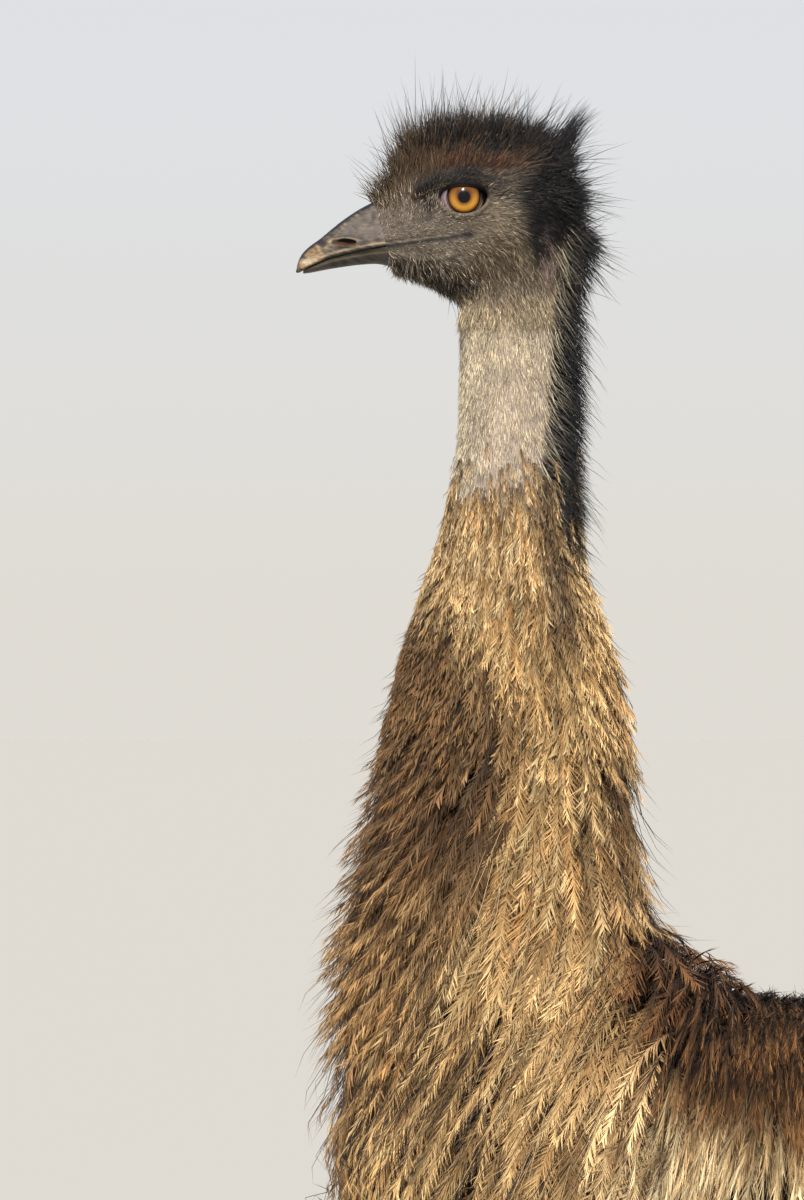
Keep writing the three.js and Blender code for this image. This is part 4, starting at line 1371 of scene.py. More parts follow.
# guides over the head in the side view: pixel place, direction on the picture, length, rise from the skin
GUIDES = np.array([
    (368, 226, 0.5, -0.7, 1.8, 18), (378, 214, 0.2, -1.0, 2.4, 24), (395, 218, 0.35, -0.8, 2.8, 20), (412, 232, 0.8, -0.4, 2.8, 16),
    (372, 240, 0.9, -0.2, 1.6, 14), (400, 238, 1.0, -0.1, 2.2, 14), (440, 228, 1.0, 0.1, 3.0, 12), (425, 210, 0.3, -0.9, 3.0, 20),
    (372, 204, -0.6, -0.9, 15.0, 56), (380, 201, -0.55, -0.9, 19.0, 58), (388, 190, -0.52, -0.95, 25.0, 60), (398, 177, -0.46, -1.0, 31.0, 62), (412, 162, -0.3, -1.0, 35.0, 64),
    (400, 200, -0.3, -1.0, 7.0, 28), (412, 186, -0.3, -1.0, 10.0, 30), (428, 172, -0.15, -1.0, 12.0, 32), (428, 190, 0.0, -1.0, 6.0, 24),
    (436, 150, -0.08, -1.0, 29.0, 64), (465, 143, 0.08, -1.0, 25.0, 66), (497, 142, 0.2, -1.0, 24.0, 66), (527, 149, 0.6, -1.0, 26.0, 60),
    (550, 168, 0.95, -0.65, 27.0, 58), (563, 198, 1.0, -0.12, 23.0, 56), (570, 240, 1.0, 0.15, 24.0, 58), (572, 285, 1.0, 0.25, 26.0, 60), (572, 320, 1.0, 0.3, 26.0, 60),
    (556, 300, 0.4, 1.0, 10.0, 22), (556, 262, 0.4, 1.0, 8.0, 18),
    (446, 168, 0.1, -1.0, 12.0, 30), (472, 165, 0.35, -1.0, 12.0, 30), (500, 167, 0.6, -0.9, 12.0, 28), (524, 182, 1.0, -0.4, 12.0, 26),
    (448, 178, 0.3, -1.0, 4.0, 22), (480, 178, 0.7, -0.6, 4.5, 20), (505, 190, 1.0, -0.15, 6.0, 18),
    (514, 207, 1.0, 0.05, 7.0, 14), (540, 214, 1.0, 0.35, 9.0, 22), (548, 235, 0.8, 0.7, 8.0, 18),
    (455, 222, 1.0, 0.0, 2.2, 14), (485, 222, 1.0, 0.15, 4.0, 12), (500, 236, 0.9, 0.45, 7.0, 14), (520, 250, 0.55, 0.95, 9.0, 14),
    (545, 262, 0.3, 1.0, 7.0, 14), (400, 252, 0.7, 0.1, 1.8, 14), (435, 250, 0.9, 0.1, 2.6, 14), (455, 256, 0.8, 0.4, 5.0, 18),
    (428, 268, 0.1, 1.0, 10.0, 38), (405, 264, -0.15, 1.0, 10.5, 50), (382, 262, -0.25, 1.0, 9.5, 58), (446, 284, -0.1, 1.0, 12.0, 42),
    (470, 300, 0.05, 1.0, 12.0, 22), (470, 270, 0.5, 0.9, 9.0, 18), (500, 278, 0.3, 1.0, 11.0, 14), (532, 292, 0.2, 1.0, 10.0, 14),
    (460, 330, 0.0, 1.0, 11.0, 16), (500, 330, 0.05, 1.0, 11.0, 13), (545, 330, 0.15, 1.0, 10.0, 14),
])


def head_guides(p):
    """Direction, length and rise of the hair rooted at table points of the head."""
    u = (p[:, 0] + 642.6) / PX
    v = (1763 - p[:, 2]) / PX
    d2 = (u[:, None] - GUIDES[None, :, 0]) ** 2 + (v[:, None] - GUIDES[None, :, 1]) ** 2
    w = 1 / (d2 + 30) ** 2
    w /= w.sum(1, keepdims=True)
    dx, dz = w @ GUIDES[:, 2], -(w @ GUIDES[:, 3])
    return dx, dz, w @ GUIDES[:, 4], np.radians(w @ GUIDES[:, 5])


def spread_colour(root_c, tip_c, k1, power=1.0):
    t = (np.arange(k1) / (k1 - 1)) ** power
    return root_c[:, None] * (1 - t[None, :, None]) + tip_c[:, None] * t[None, :, None]


def head_marks(p):
    """Root and tip colours of the head's hair, as the skin's own markings run, with painted shadow about the brow."""
    x, y, z = p[:, 0], np.abs(p[:, 1]), p[:, 2]
    w = noise3(p, 7, 21)
    root = np.repeat((C["darkgrey"] * 0.9)[None], len(p), 0)
    tip = np.repeat(rgb(168, 150, 122)[None], len(p), 0)
    # above and before the eye: golden brown to rust at the base
    above = step(1632, 1645, z + w * 2)
    root = mix(root, rgb(70, 46, 28), above * 0.9)
    tip = mix(tip, rgb(96, 68, 42), above * 0.9)
    rust = blob(x, z, 474, 165, 44, 13) * 0.7
    tip = mix(tip, rgb(116, 74, 44), rust)
    root = mix(root, rgb(58, 32, 22), rust)
    front = np.maximum(blob(x, z, 396, 198, 26, 24), blob(x, z, 400, 172, 34, 26, 0.5))
    tip = mix(tip, rgb(36, 29, 24), front * 0.85)
    root = mix(root, rgb(104, 78, 48), front * 0.8)
    crown = step(1649, 1656, z + w * 4 + step(-350, -385, x) * 5)
    root = mix(root, rgb(34, 24, 18), crown)
    tip = mix(tip, C["black"] * 0.8, crown * 0.96)
    back = np.maximum(step(-287, -277, x + w * 4) * step(1590, 1606, z + 0.9 * (x + 262)), step(-262, -257, x + w * 2.5))
    root, tip = mix(root, C["black"] * 0.8, back), mix(tip, C["black"] * 0.8, back * 0.97)
    # black along the brow: dark hair, with painted shadow above the eye
    line, s_ = line_distance(x, z, [(420, 193), (440, 182), (452, 178), (466, 176.5), (482, 179), (500, 188), (511, 195)])
    brow = np.exp(-((line / 3.4) ** 2))
    root, tip = mix(root, C["black"] * 0.6, brow), mix(tip, C["black"] * 0.6, brow)
    root = mix(root, rgb(60, 52, 46), blob(x, z, 512, 190, 22, 16) * 0.7)
    tip = mix(tip, rgb(104, 98, 90), blob(x, z, 512, 190, 22, 16) * 0.7)
    ear = np.maximum(blob(x, z, 540, 224, 18, 36, 0.25), blob(x, z, 539, 200, 23, 34, 0.3))
    root, tip = mix(root, C["black"] * 0.6, ear), mix(tip, C["black"] * 0.6, ear * 0.99)
    cheek = blob(x, z, 508, 244, 26, 18) * (1 - ear)
    root = mix(root, rgb(62, 52, 42), cheek * 0.8)
    tip = mix(tip, rgb(166, 144, 108), cheek * 0.7)
    jaw = blob(x, z, 478, 262, 34, 14, 0.5) * (1 - ear)
    root, tip = mix(root, rgb(54, 42, 30), jaw * 0.7), mix(tip, rgb(116, 96, 66), jaw * 0.6)
    throat = blob(x, z, 428, 276, 48, 16, 0.4)
    root = mix(root, C["darkbrown"], throat)
    tip = mix(tip, rgb(58, 46, 34), throat * 0.85)
    chin = step(6, 1, z - np.interp(x, [-441, -385, -360, -330, -300], [1576, 1586, 1582, 1570, 1556])) * step(-300, -312, x)
    root, tip = mix(root, C["black"], chin * 0.9), mix(tip, C["black"], chin * 0.9)
    # painted shadow under the brow, over the upper lid
    brow_shadow = blob(x, z, 463, 181, 30, 6, 0.5)
    root, tip = mix(root, C["black"], brow_shadow * 0.9), mix(tip, rgb(52, 44, 36), brow_shadow * 0.85)
    neck = step(1572, 1556, z + w * 4) * (1 - throat) * (1 - back)
    root = mix(root, rgb(160, 138, 110), neck)
    tip = mix(tip, rgb(224, 206, 172), neck)
    return root, tip


# ---- head, hair by hair


def weight_head(p):
    x, y, z = p[:, 0], np.abs(p[:, 1]), p[:, 2]
    bare = (opening(x, z) < 1.3) & (y > 16)
    ok = (behind_bill(x, z) > -0.4) & (z > 1545) & ~bare
    for line, gap in ((MOUTH, 1.9), (MOUTH_UPPER, 1.0), (CREASE, 0.9), (JAW_FOLD, 0.8)):
        ok = ok & ((line_distance(x, z, line)[0] > gap) | (y < 6))
    dense = 1.0 - 0.45 * step(-330, -372, x) * step(1640, 1628, z)
    pinkish = blob(x, z, 551, 268, 11, 30)
    return ok * dense * (1 - 0.55 * pinkish)


def clean(p):
    """Skin points only: nothing rooted down in an eye's socket or on the cut at the horn."""
    ok = np.abs(whole.at(p)) < 1.2
    return p[ok]


root = clean(roots_on(skin_pts, skin_tris, weight_head, 42000, 0.68, 11))
normal = unit(whole.slope(root, 2.0))
dx, dz, length, rise = head_guides(root)
r = np.random.default_rng(12)
direction = np.stack([dx, 0.10 * np.sign(root[:, 1]) * np.ones(len(root)), dz], -1)
crown = step(1640, 1662, root[:, 2]) * step(0.35, 0.8, normal[:, 2])
direction += r.normal(size=direction.shape) * 0.22
length = length * r.uniform(0.7, 1.25, len(root))
wisp = (r.random(len(root)) < 0.085) & (length > 14)
length = np.where(wisp, length * r.uniform(1.4, 2.05, len(root)), length)
rise = rise + r.normal(size=len(root)) * 0.12
# a dark lock at the back of the crown
lock = (np.abs(root[:, 0] - px(550, 0)[0]) < 9) & (np.abs(root[:, 1]) < 10) & (root[:, 2] > 1636) & (r.random(len(root)) < 0.5)
aim = np.array([px(586, 112)[0], 0.0, px(586, 112)[1]])
direction = np.where(lock[:, None], unit(unit(aim - root) * [1, 0.5, 1] + r.normal(size=root.shape) * 0.10), direction)
length = np.where(lock, r.uniform(26, 56, len(root)), length)
# standing hair on top: straight up from the skull, leaning as the guides say
up = step(12, 18, length)
normal_lean = unit(normal * (1 - 0.3 * up)[:, None] + np.stack([dx, 0 * dx, dz], -1) * (0.3 * up)[:, None])
short = length < 6.5
root_c, tip_c = head_marks(root)
tone = np.exp(r.normal(size=len(root)) * 0.42) * 0.9
side_view = 1 - step(9, 14, length)
lores = step(-318, -332, root[:, 0])
inked = np.maximum.reduce([blob(root[:, 0], root[:, 2], 540, 224, 18, 36, 0.25), blob(root[:, 0], root[:, 2], 539, 200, 23, 34, 0.3), np.exp(-((line_distance(root[:, 0], root[:, 2], [(420, 193), (440, 182), (452, 178), (466, 176.5), (482, 179), (500, 188), (511, 195)])[0] / 3.2) ** 2))])
pale = r.random(len(root)) < (0.28 + 0.16 * lores) * side_view * (1 - inked) ** 2
tip_c = mix(tip_c, np.repeat(rgb(232, 216, 190)[None], len(root), 0), pale * 0.75 * step(1638, 1629, root[:, 2]))
dark_one = (r.random(len(root)) < 0.42) & ~pale
tip_c = mix(tip_c, np.repeat(rgb(40, 32, 27)[None], len(root), 0), dark_one * 0.8 * side_view)
golden = (r.random(len(root)) < 0.13 * (1 - inked)) & (length > 9) & (root[:, 0] < -292)
tip_c = mix(tip_c, np.repeat(rgb(158, 124, 84)[None], len(root), 0), golden * 0.5)
root_c, tip_c = root_c * tone[:, None], tip_c * tone[:, None]
uv0 = unwrap(root)

for name, pick, segs, rad, curl in (
    ("coat_face", short, 2, 0.19, 0.10),
    ("coat_head", ~short & (length < 13.5), 2, 0.25, 0.08),
    ("coat_crown", length >= 13.5, 3, 0.27, 0.06),
):
    q = np.nonzero(pick)[0]
    path = hair_paths(root[q], direction[q], normal_lean[q], length[q], segs, rise[q], 0.25 * (1 - up[q]), 0.05 + 0.0 * up[q], np.full(len(q), curl), 13, cap=None)
    held = lock[q]
    if held.any():
        steps = np.linspace(0, 1, segs + 1)[None, :, None]
        bend = np.array([0, 0, 1.0]) * (np.sin(steps * np.pi) * 2.5)
        path[held] = root[q][held][:, None] + (direction[q] * length[q][:, None])[held][:, None] * steps + bend
    k1 = segs + 1
    profile = np.array([1.0, 0.95, 0.6, 0.0]) if segs > 2 else np.array([1.0, 0.75, 0.0])
    colour = spread_colour(root_c[q], tip_c[q], k1, 0.8 if name != "coat_crown" else 0.55)
    pts, tris, col, uv = needles(path, normal[q], np.full(len(q), rad) * r.uniform(0.75, 1.2, len(q)), profile, colour, uv0[q])
    piece = build(name, pts, tris, col, uv=uv)
    piece.data.materials.append(hair_mat)
    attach(piece, "root")
    print(name, len(q), len(tris))

# ---- upper neck: pale flat hair, and the black mane behind


def neck_angle(p):
    """0 at the front of the neck, 1 at its back."""
    c = NECK(np.clip(p[:, 2], 905, 1625))
    middle = (c[:, 0] + c[:, 1]) / 2
    half = (c[:, 1] - c[:, 0]) / 2
    return np.arctan2(np.abs(p[:, 1]) / c[:, 2], -(p[:, 0] - middle) / half) / np.pi


def weight_neck(p):
    z = p[:, 2]
    mane = step(0.6, 0.72, neck_angle(p))
    return step(1318, 1345, z) * ((z < 1552) | ((neck_angle(p) > 0.72) & (z < 1616) & (p[:, 0] > -276))) * (1 + 1.1 * step(1490, 1545, z) * (1 - mane)) * (behind_bill(p[:, 0], z) > 0)


root = roots_on(skin_pts, skin_tris, weight_neck, 25000, 0.95, 31)
normal = unit(whole.slope(root, 2.5))
r = np.random.default_rng(32)
n_ = len(root)
ang = neck_angle(root)
z = root[:, 2]
w = noise3(root, 8, 33)
mane = step(0.69, 0.78, ang - 0.075 * step(1430, 1520, z) + 0.03 * w + 0.02 * r.normal(size=n_))
keep = (z < 1550) | (mane > 0.5)
root, normal, ang, z, w, mane = (v[keep] for v in (root, normal, ang, z, w, mane))
n_ = len(root)
low = step(1430, 1370, z)
clump = np.stack([noise3(root, 11, 34), noise3(root, 11, 35), 0 * z], -1)
direction = np.stack([0.06 * np.ones(n_), 0 * z, -np.ones(n_)], -1) + clump * 0.28 + r.normal(size=(n_, 3)) * 0.13
back_dir = np.stack([0.9 * np.ones(n_), 0.35 * np.sign(root[:, 1]) * r.random(n_), -0.62 * np.ones(n_)], -1) + r.normal(size=(n_, 3)) * 0.2 + clump * 0.3
direction = direction * (1 - mane)[:, None] + back_dir * mane[:, None]
length = (10.5 + 10 * low) * (1 - mane) + mane * (29.0 - 6 * step(1440, 1380, z))
length = length * r.uniform(0.72, 1.25, n_)
wisp = (r.random(n_) < 0.03) & (mane > 0.5)
length = np.where(wisp, length * 1.55, length)
rise = np.radians(11 + 6 * low) * (1 - mane) + np.radians(54) * mane + r.normal(size=n_) * 0.06
root_c = mix(np.repeat(rgb(206, 188, 158)[None], n_, 0), np.repeat((C["black"] * 0.8)[None], n_, 0), mane)
tip_c = mix(np.repeat(rgb(250, 236, 206)[None], n_, 0), np.repeat((C["black"] * 0.8)[None], n_, 0), mane)
gold = step(1440, 1395, z + 7 * w) * (1 - mane)
root_c = mix(root_c, rgb(120, 92, 62), gold * 0.8)
tip_c = mix(tip_c, rgb(214, 184, 136), gold * 0.9)
front_dark = step(1500, 1560, z) * step(0.22, 0.05, ang) * 0.8
tip_c = mix(tip_c, C["black"], front_dark)
dark = (r.random(n_) < 0.06 + 0.24 * gold + 0.10 * step(0.5, 0.66, ang)) & (mane < 0.5)
tip_c = mix(tip_c, rgb(70, 54, 42), dark * 0.8)
tone = (1 + 0.16 * noise3(root, 14, 36)) * r.uniform(0.74, 1.2, n_)
root_c, tip_c = root_c * tone[:, None], tip_c * tone[:, None]
uv0 = unwrap(root)
for name, pick, segs, rad in (("coat_neck_hair", mane < 0.35, 2, 0.24), ("coat_nape", mane >= 0.35, 4, 0.3)):
    q = np.nonzero(pick)[0]
    path = hair_paths(root[q], direction[q], normal[q], length[q], segs, rise[q], np.full(len(q), 0.12), 0.06 + 0.10 * mane[q], np.full(len(q), 0.07), 37)
    k1 = segs + 1
    profile = np.array([1.0, 1.0, 0.8, 0.5, 0.0]) if segs == 4 else np.array([1.0, 0.8, 0.0])
    pts, tris, col, uv = needles(path, normal[q], rad * r.uniform(0.75, 1.2, len(q)), profile, spread_colour(root_c[q], tip_c[q], k1, 0.7), uv0[q])
    piece = build(name, pts, tris, col, uv=uv)
    piece.data.materials.append(hair_mat)
    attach(piece, "root")
    print(name, len(q), len(tris))


# ---------------------------------------------------------------- loose feathers of the lower neck, breast and body

# how far the coat leans back (+) or forward (-) for each unit that it runs down, at places of the side view
LEANS = np.array([
    (-350, 1400, 0.0), (-350, 1355, -0.12), (-366, 1300, -0.50), (-384, 1233, -0.85), (-405, 1151, -0.85), (-418, 1083, -0.72), (-418, 1015, -0.60),
    (-337, 1185, -0.70), (-316, 1117, -0.62), (-330, 1260, -0.42), (-295, 1290, -0.05), (-275, 1219, -0.06), (-262, 1151, -0.16), (-240, 1300, 0.22),
    (-232, 1250, 0.26), (-221, 1185, 0.10), (-214, 1137, -0.05), (-303, 1049, -0.98), (-262, 1015, -0.82), (-221, 1015, -0.42), (-221, 1075, -0.35), (-201, 981, -0.26),
    (-180, 1117, -0.72), (-167, 1083, -0.68), (-139, 1049, -0.28), (-105, 1083, 0.12), (-105, 1015, -0.02), (-357, 981, -0.74), (-371, 930, -0.62),
    (-280, 930, -0.55), (-200, 900, -0.15), (-100, 900, 0.10), (-60, 980, 0.10), (0, 1000, 0.35), (0, 850, 0.25), (120, 980, 0.62), (120, 820, 0.42),
    (240, 930, 0.85), (240, 800, 0.55), (330, 850, 1.0), (420, 780, 0.8), (-150, 780, 0.0), (-280, 820, -0.35), (0, 700, 0.12), (150, 680, 0.30), (0, 560, 0.15), (60, 480, 0.1),
], float)


def lean(p):
    d2 = (p[..., 0, None] - LEANS[:, 0]) ** 2 + (p[..., 2, None] - LEANS[:, 1]) ** 2
    w = np.exp(-d2 / (2 * 42.0**2)) + 1e-7 / (1 + d2 / 1e4)
    return (w * LEANS[:, 2]).sum(-1) / w.sum(-1)


lean_field = Field(np.arange(-520.0, 561, 12.0), np.array([-10.0, 10.0]), np.arange(400.0, 1521, 12.0), np.repeat(
    lean(np.stack(np.meshgrid(np.arange(-520.0, 561, 12.0), np.arange(400.0, 1521, 12.0), indexing="ij"), -1)[..., [0, 0, 1]])[:, None], 2, axis=1))


def lie(p):
    """Which way the coat runs at table points, before it is laid along the surface."""
    q = p * [1, 0, 1]
    along = lean_field.at(q)
    on_neck = step(1085, 1180, p[..., 2])
    apart = np.tanh(p[..., 1] / 9.0) * (0.42 * (1 - on_neck) * step(880, 1040, p[..., 2]) + 0.05)
    return np.stack([along, apart, np.full_like(along, -1.0)], -1)


def plume_paths(root, normal, length, level, segs, flare, seed, turn, free=0.6, cap=1.08):
    """Shafts that leave the skin, rise to their own depth of the coat, run along it and droop at the tip."""
    r = np.random.default_rng(seed)
    n = len(root)
    bent = r.normal(size=(n, 3)) * 0.09
    p = root - normal * 1.0
    out, d, nn = [p], None, normal
    for s in range(segs):
        w = (s + 1) / segs
        g = depth.slope(p, 4.0)
        size = np.maximum(np.linalg.norm(g, axis=1, keepdims=True), 0.004)
        nn = g / size
        f = unit(lie(p)) + turn + bent * math.cos(2.4 * w * math.pi)
        f = unit(f - nn * dot(f, nn))
        if s == 0:
            f = unit(f + nn * 0.8)
        if w > free:
            f = unit(f + np.array([0, 0, -0.18]) + nn * (flare * (w - free) / (1 - free))[:, None])
        d = f if d is None else unit(d * 0.35 + f)
        p = p + d * (length / segs)[:, None]
        want = level * (1 - (1 - min(w / 0.45, 1.0)) ** 2)
        now = depth.at(p)
        pull = 1.0 if w <= free else 0.0
        move = np.clip((want - now)[:, None] / size, -14, 14) * pull
        high = np.clip((cap - now)[:, None] / size, -40, 0)
        low = np.clip((0.06 - now)[:, None] / size, 0, 25)
        p = p + nn * (move + (high + low) * (1 - pull))
        out.append(p)
    return np.stack(out, 1), nn


def on_path(path, t):
    """Points at shares t (N, B) of paths (N, K+1, 3), on a smooth curve through their points."""
    k = path.shape[1] - 1
    q = np.clip(t * k, 0, k - 1e-6)
    i = np.floor(q).astype(int)
    f = (q - i)[..., None]
    rows = np.arange(len(path))[:, None]
    a, b = path[rows, i], path[rows, i + 1]
    before, after = path[rows, np.maximum(i - 1, 0)], path[rows, np.minimum(i + 2, k)]
    m0, m1 = (b - before) / 2, (after - a) / 2
    f2, f3 = f * f, f * f * f
    return (2 * f3 - 3 * f2 + 1) * a + (f3 - 2 * f2 + f) * m0 + (3 * f2 - 2 * f3) * b + (f3 - f2) * m1


def combs(root, path, normal, barbs, barb_length, angle, base_c, mid_c, tip_c, seed, ragged=0.16, roof=0.16, spread=1.0, contrast=0.3, pale=1.2):
    """Feathers as combs: a shaft line with long separate barbs on both sides, all of one connected mesh."""
    r = np.random.default_rng(seed)
    n = len(path)
    uv0 = unwrap(root)
    t = np.repeat(np.linspace(0, 1, barbs + 1)[None], n, 0)
    t[:, 1:-1] += r.uniform(-0.25, 0.25, (n, barbs - 1)) / barbs
    shaft = on_path(path, t)
    tang = unit(shaft[:, 1:] - shaft[:, :-1])
    mid = (shaft[:, 1:] + shaft[:, :-1]) / 2
    tm = (t[:, 1:] + t[:, :-1]) / 2
    nn = np.repeat(normal[:, None], barbs, 1) if normal.ndim == 2 else normal
    up = unit(nn - tang * dot(nn, tang))
    roll = r.normal(size=(n, 1, 1)) * 0.30
    side0 = np.cross(tang, up)
    side = side0 * np.cos(roll) + up * np.sin(roll)
    up = up * np.cos(roll) - side0 * np.sin(roll)

    def colour_at(q):
        q = q[..., None]
        b, m, e = base_c[:, None], mid_c[:, None], tip_c[:, None]
        return np.where(q < 0.5, b + (m - b) * (q / 0.5), m + (e - m) * ((q - 0.5) / 0.5))

    points, cols, us, vs = [shaft], [colour_at(t) * 0.86], [np.full_like(t, 0.5)], [t]
    shape = 0.35 + 0.75 * np.sin(np.pi * np.clip(0.12 + 0.80 * tm, 0, 1))
    for sgn in (1.0, -1.0):
        a = np.reshape(angle, (-1, 1)) * (1.15 - 0.60 * tm) + r.normal(size=tm.shape) * ragged
        a = np.clip(a, 0.03, 1.2) * spread
        d = tang * np.cos(a)[..., None] + side * (sgn * np.sin(a))[..., None]
        d = d + up * (r.normal(size=tm.shape) * ragged * 0.8 - roof)[..., None]
        ln = barb_length[:, None] * shape * r.uniform(0.7, 1.25, tm.shape)
        tip = mid + unit(d) * ln[..., None]
        tip[..., 2] -= 0.05 * ln
        c = colour_at(np.clip(tm + 0.08, 0, 1)) * (pale * (1 + contrast * r.normal(size=tm.shape)).clip(0.45, 1.5))[..., None]
        points.append(tip)
        cols.append(c)
        us.append(0.5 + sgn * 0.5 * np.clip(np.sin(a) * ln / (barb_length[:, None] * 0.9), 0.05, 1))
        vs.append(np.clip(tm + 0.06, 0, 1))
    pts = np.concatenate(points, 1)
    per = pts.shape[1]
    i = np.arange(barbs)
    tri = np.concatenate([np.stack([i, i + 1, barbs + 1 + i], 1), np.stack([i + 1, i, 2 * barbs + 1 + i], 1)])
    tris = (tri[None] + (np.arange(n) * per)[:, None, None]).reshape(-1, 3)
    u, v = np.concatenate(us, 1), np.concatenate(vs, 1)
    uv = uv0[:, None] + np.stack([(u - 0.5) * PATCH, v * PATCH], -1)
    return pts.reshape(-1, 3), tris, np.concatenate(cols, 1).reshape(-1, 3), uv.reshape(-1, 2)


def neck_share(p):
    """-1 at the front of the neck, 1 at its back."""
    c = NECK(np.clip(p[..., 2], 905, 1625))
    return (p[..., 0] - (c[..., 0] + c[..., 1]) / 2) / np.maximum((c[..., 1] - c[..., 0]) / 2, 1)


def coat_tint(p):
    """Base, middle and tip colours of the body's feathers, from where they show."""
    x, y, z = p[:, 0], np.abs(p[:, 1]), p[:, 2]
    n = len(p)
    w = noise3(p, 46, 51) * 0.6 + noise3(p, 20, 52) * 0.4
    fine = noise3(p * [1, 1, 0.35], 9, 53)
    base = np.repeat(rgb(66, 47, 31)[None], n, 0)
    mid = np.repeat(rgb(158, 123, 78)[None], n, 0)
    tip = np.repeat(rgb(212, 178, 124)[None], n, 0)
    # the front of the lower neck and breast is dark, with near-black strands
    edge = np.interp(z, [900, 960, 1000, 1050, 1100, 1150, 1200, 1250, 1290, 1325, 1350, 1400, 1450], [-420, -410, -392, -368, -345, -318, -305, -292, -292, -318, -340, -348, -350])
    front = step(24, -24, x - edge + 26 * w + 8 * fine) * step(1480, 1430, z + 14 * w)
    fade = step(840, 1010, z)
    high = step(1150, 1205, z)[:, None]
    mid = mix(mid, rgb(94, 68, 42) * (1 - high) + rgb(60, 41, 25) * high, front * (0.45 + 0.5 * fade))
    tip = mix(tip, rgb(170, 132, 86) * (1 - high) + rgb(112, 80, 50) * high, front * (0.4 + 0.5 * fade))
    # the neck's back edge down to the mantle
    back = step(-248, -222, x + 12 * w) * step(1070, 1110, z) * step(1400, 1340, z)
    mid, tip = mix(mid, rgb(104, 76, 48), back * 0.55), mix(tip, rgb(150, 112, 72), back * 0.4)
    # straight dark streak down the side of the neck's top
    streak = step(14, 4, np.abs(x + 268 + 0.12 * (z - 1400)) + 6 * w) * step(1310, 1345, z) * step(1480, 1440, z)
    mid, tip = mix(mid, rgb(58, 45, 36), streak * 0.8), mix(tip, rgb(80, 62, 48), streak * 0.7)
    top = step(1330, 1390, z + 14 * w) * (1 - streak) * (1 - 0.8 * front)
    mid = mix(mid, rgb(158, 126, 84), top * 0.6)
    tip = mix(tip, rgb(222, 194, 148), top * 0.7)
    low = np.interp(x, [-240, -205, -170, -130, -90, -30, 60], [1078, 1038, 1008, 990, 990, 996, 1012])
    mantle = step(-16, 22, z - low + 22 * w) * step(-226, -204, x + 0.12 * (z - 1100) + 12 * w) * step(1160, 1130, z)
    mid = mix(mid, rgb(38, 24, 15), mantle * 0.97)
    tip = mix(tip, rgb(122, 76, 38), mantle * 0.9)
    base = mix(base, rgb(30, 20, 15), mantle * 0.8)
    rear = step(-60, 70, x + 40 * w)
    mid = mix(mid, rgb(90, 70, 50), rear * 0.7)
    tip = mix(tip, rgb(150, 124, 90), rear * 0.6)
    straw = (1 - mantle) * step(-252, -208, x + 16 * w) * step(90, -30, x) * step(1060, 1020, z)
    mid, tip = mix(mid, rgb(172, 144, 104), straw * 0.85), mix(tip, rgb(248, 222, 172), straw * 0.9)
    belly = step(800, 690, z + 30 * w)
    mid, tip = mix(mid, rgb(128, 106, 78), belly * 0.6), mix(tip, rgb(182, 160, 126), belly * 0.6)
    leg = step(620, 560, z)
    mid, tip = mix(mid, rgb(84, 67, 49), leg * 0.7), mix(tip, rgb(146, 124, 94), leg * 0.6)
    tail = step(280, 390, x)
    mid, tip = mix(mid, rgb(70, 54, 41), tail * 0.6), mix(tip, rgb(124, 102, 76), tail * 0.6)
    tone = (1 + 0.26 * w + 0.16 * fine)[:, None]
    return base * tone, mid * tone, tip * tone


comb_mat = coat_material("feather", 0.55, 0.75, 0.05, 0.2)


def lay(name, weight, count, spacing, seed, length_of, level, segs, flare, barbs, barb_length, angle, two=0.14, ragged=0.16, roof=0.16, spread=1.0, contrast=0.3, pale=1.2, free=0.6, lock=0.30, tone_of=0.26, cap=1.08):
    """One piece of plumage: pairs of feathers from each root."""
    root = roots_on(skin_pts, skin_tris, weight, count, spacing, seed)
    r = np.random.default_rng(seed + 1)
    root = np.repeat(root, 2, 0)
    n = len(root)
    normal = unit(whole.slope(root, 5.0))
    pair = np.where(np.arange(n) % 2 == 0, 1.0, -1.0)
    length = length_of(root) * r.uniform(0.75, 1.22, n)
    lv = level[0] + (level[1] - level[0]) * r.uniform(0, 1, n) ** 0.7
    side = unit(np.cross(normal, lie(root)))
    turn = side * (pair * two * r.uniform(0.3, 1.6, n) + r.normal(size=n) * 0.06)[:, None]
    locks = np.stack([noise3(root, 30, seed + 3), noise3(root, 30, seed + 4), np.zeros(n)], -1) * lock
    path, nn = plume_paths(root, normal, length, lv, segs, flare(root) if callable(flare) else np.full(n, flare), seed + 2, turn + locks, free, cap)
    show = path[:, int(segs * 0.7)]
    base, mid, tip = coat_tint(show)
    tone = (1 + tone_of * r.normal(size=(n, 1))).clip(0.5, 1.38)
    warm = 1 + r.normal(size=(n, 1)) * 0.05 * np.array([1, 0, -1.0])
    mid, tip = mid * tone * warm, tip * tone * warm
    bl = barb_length * r.uniform(0.8, 1.25, n) * np.clip(length / np.median(length), 0.5, 1.2)
    wide_here = angle(show) if callable(angle) else angle
    pts, tris, col, uv = combs(root, path, nn, barbs, bl, wide_here, base, mid, tip, seed + 5, ragged, roof, spread, contrast, pale)
    piece = build(name, pts, tris, col, {}, uv, smooth=False)
    piece.data.materials.append(comb_mat)
    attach(piece, "root")
    print(name, n, len(tris), np.round(pts.min(0)).astype(int), np.round(pts.max(0)).astype(int), np.percentile(depth.at(pts), [50, 90, 98, 99.9]).round(2))
    return piece


def band(z0, z1, soft=12.0):
    return lambda p: step(z0 - soft, z0 + soft, p[:, 2]) * step(z1 + soft, z1 - soft, p[:, 2])


neck_length = lambda p: np.interp(p[:, 2], [900, 1050, 1150, 1250, 1300, 1340, 1380, 1420, 1470], [115, 112, 100, 80, 62, 46, 32, 22, 15])


def near_neck(p):
    """1 on the neck and breast, 0 on the trunk behind."""
    return step(-150, -215, p[:, 0] - 0.25 * (p[:, 2] - 1000))


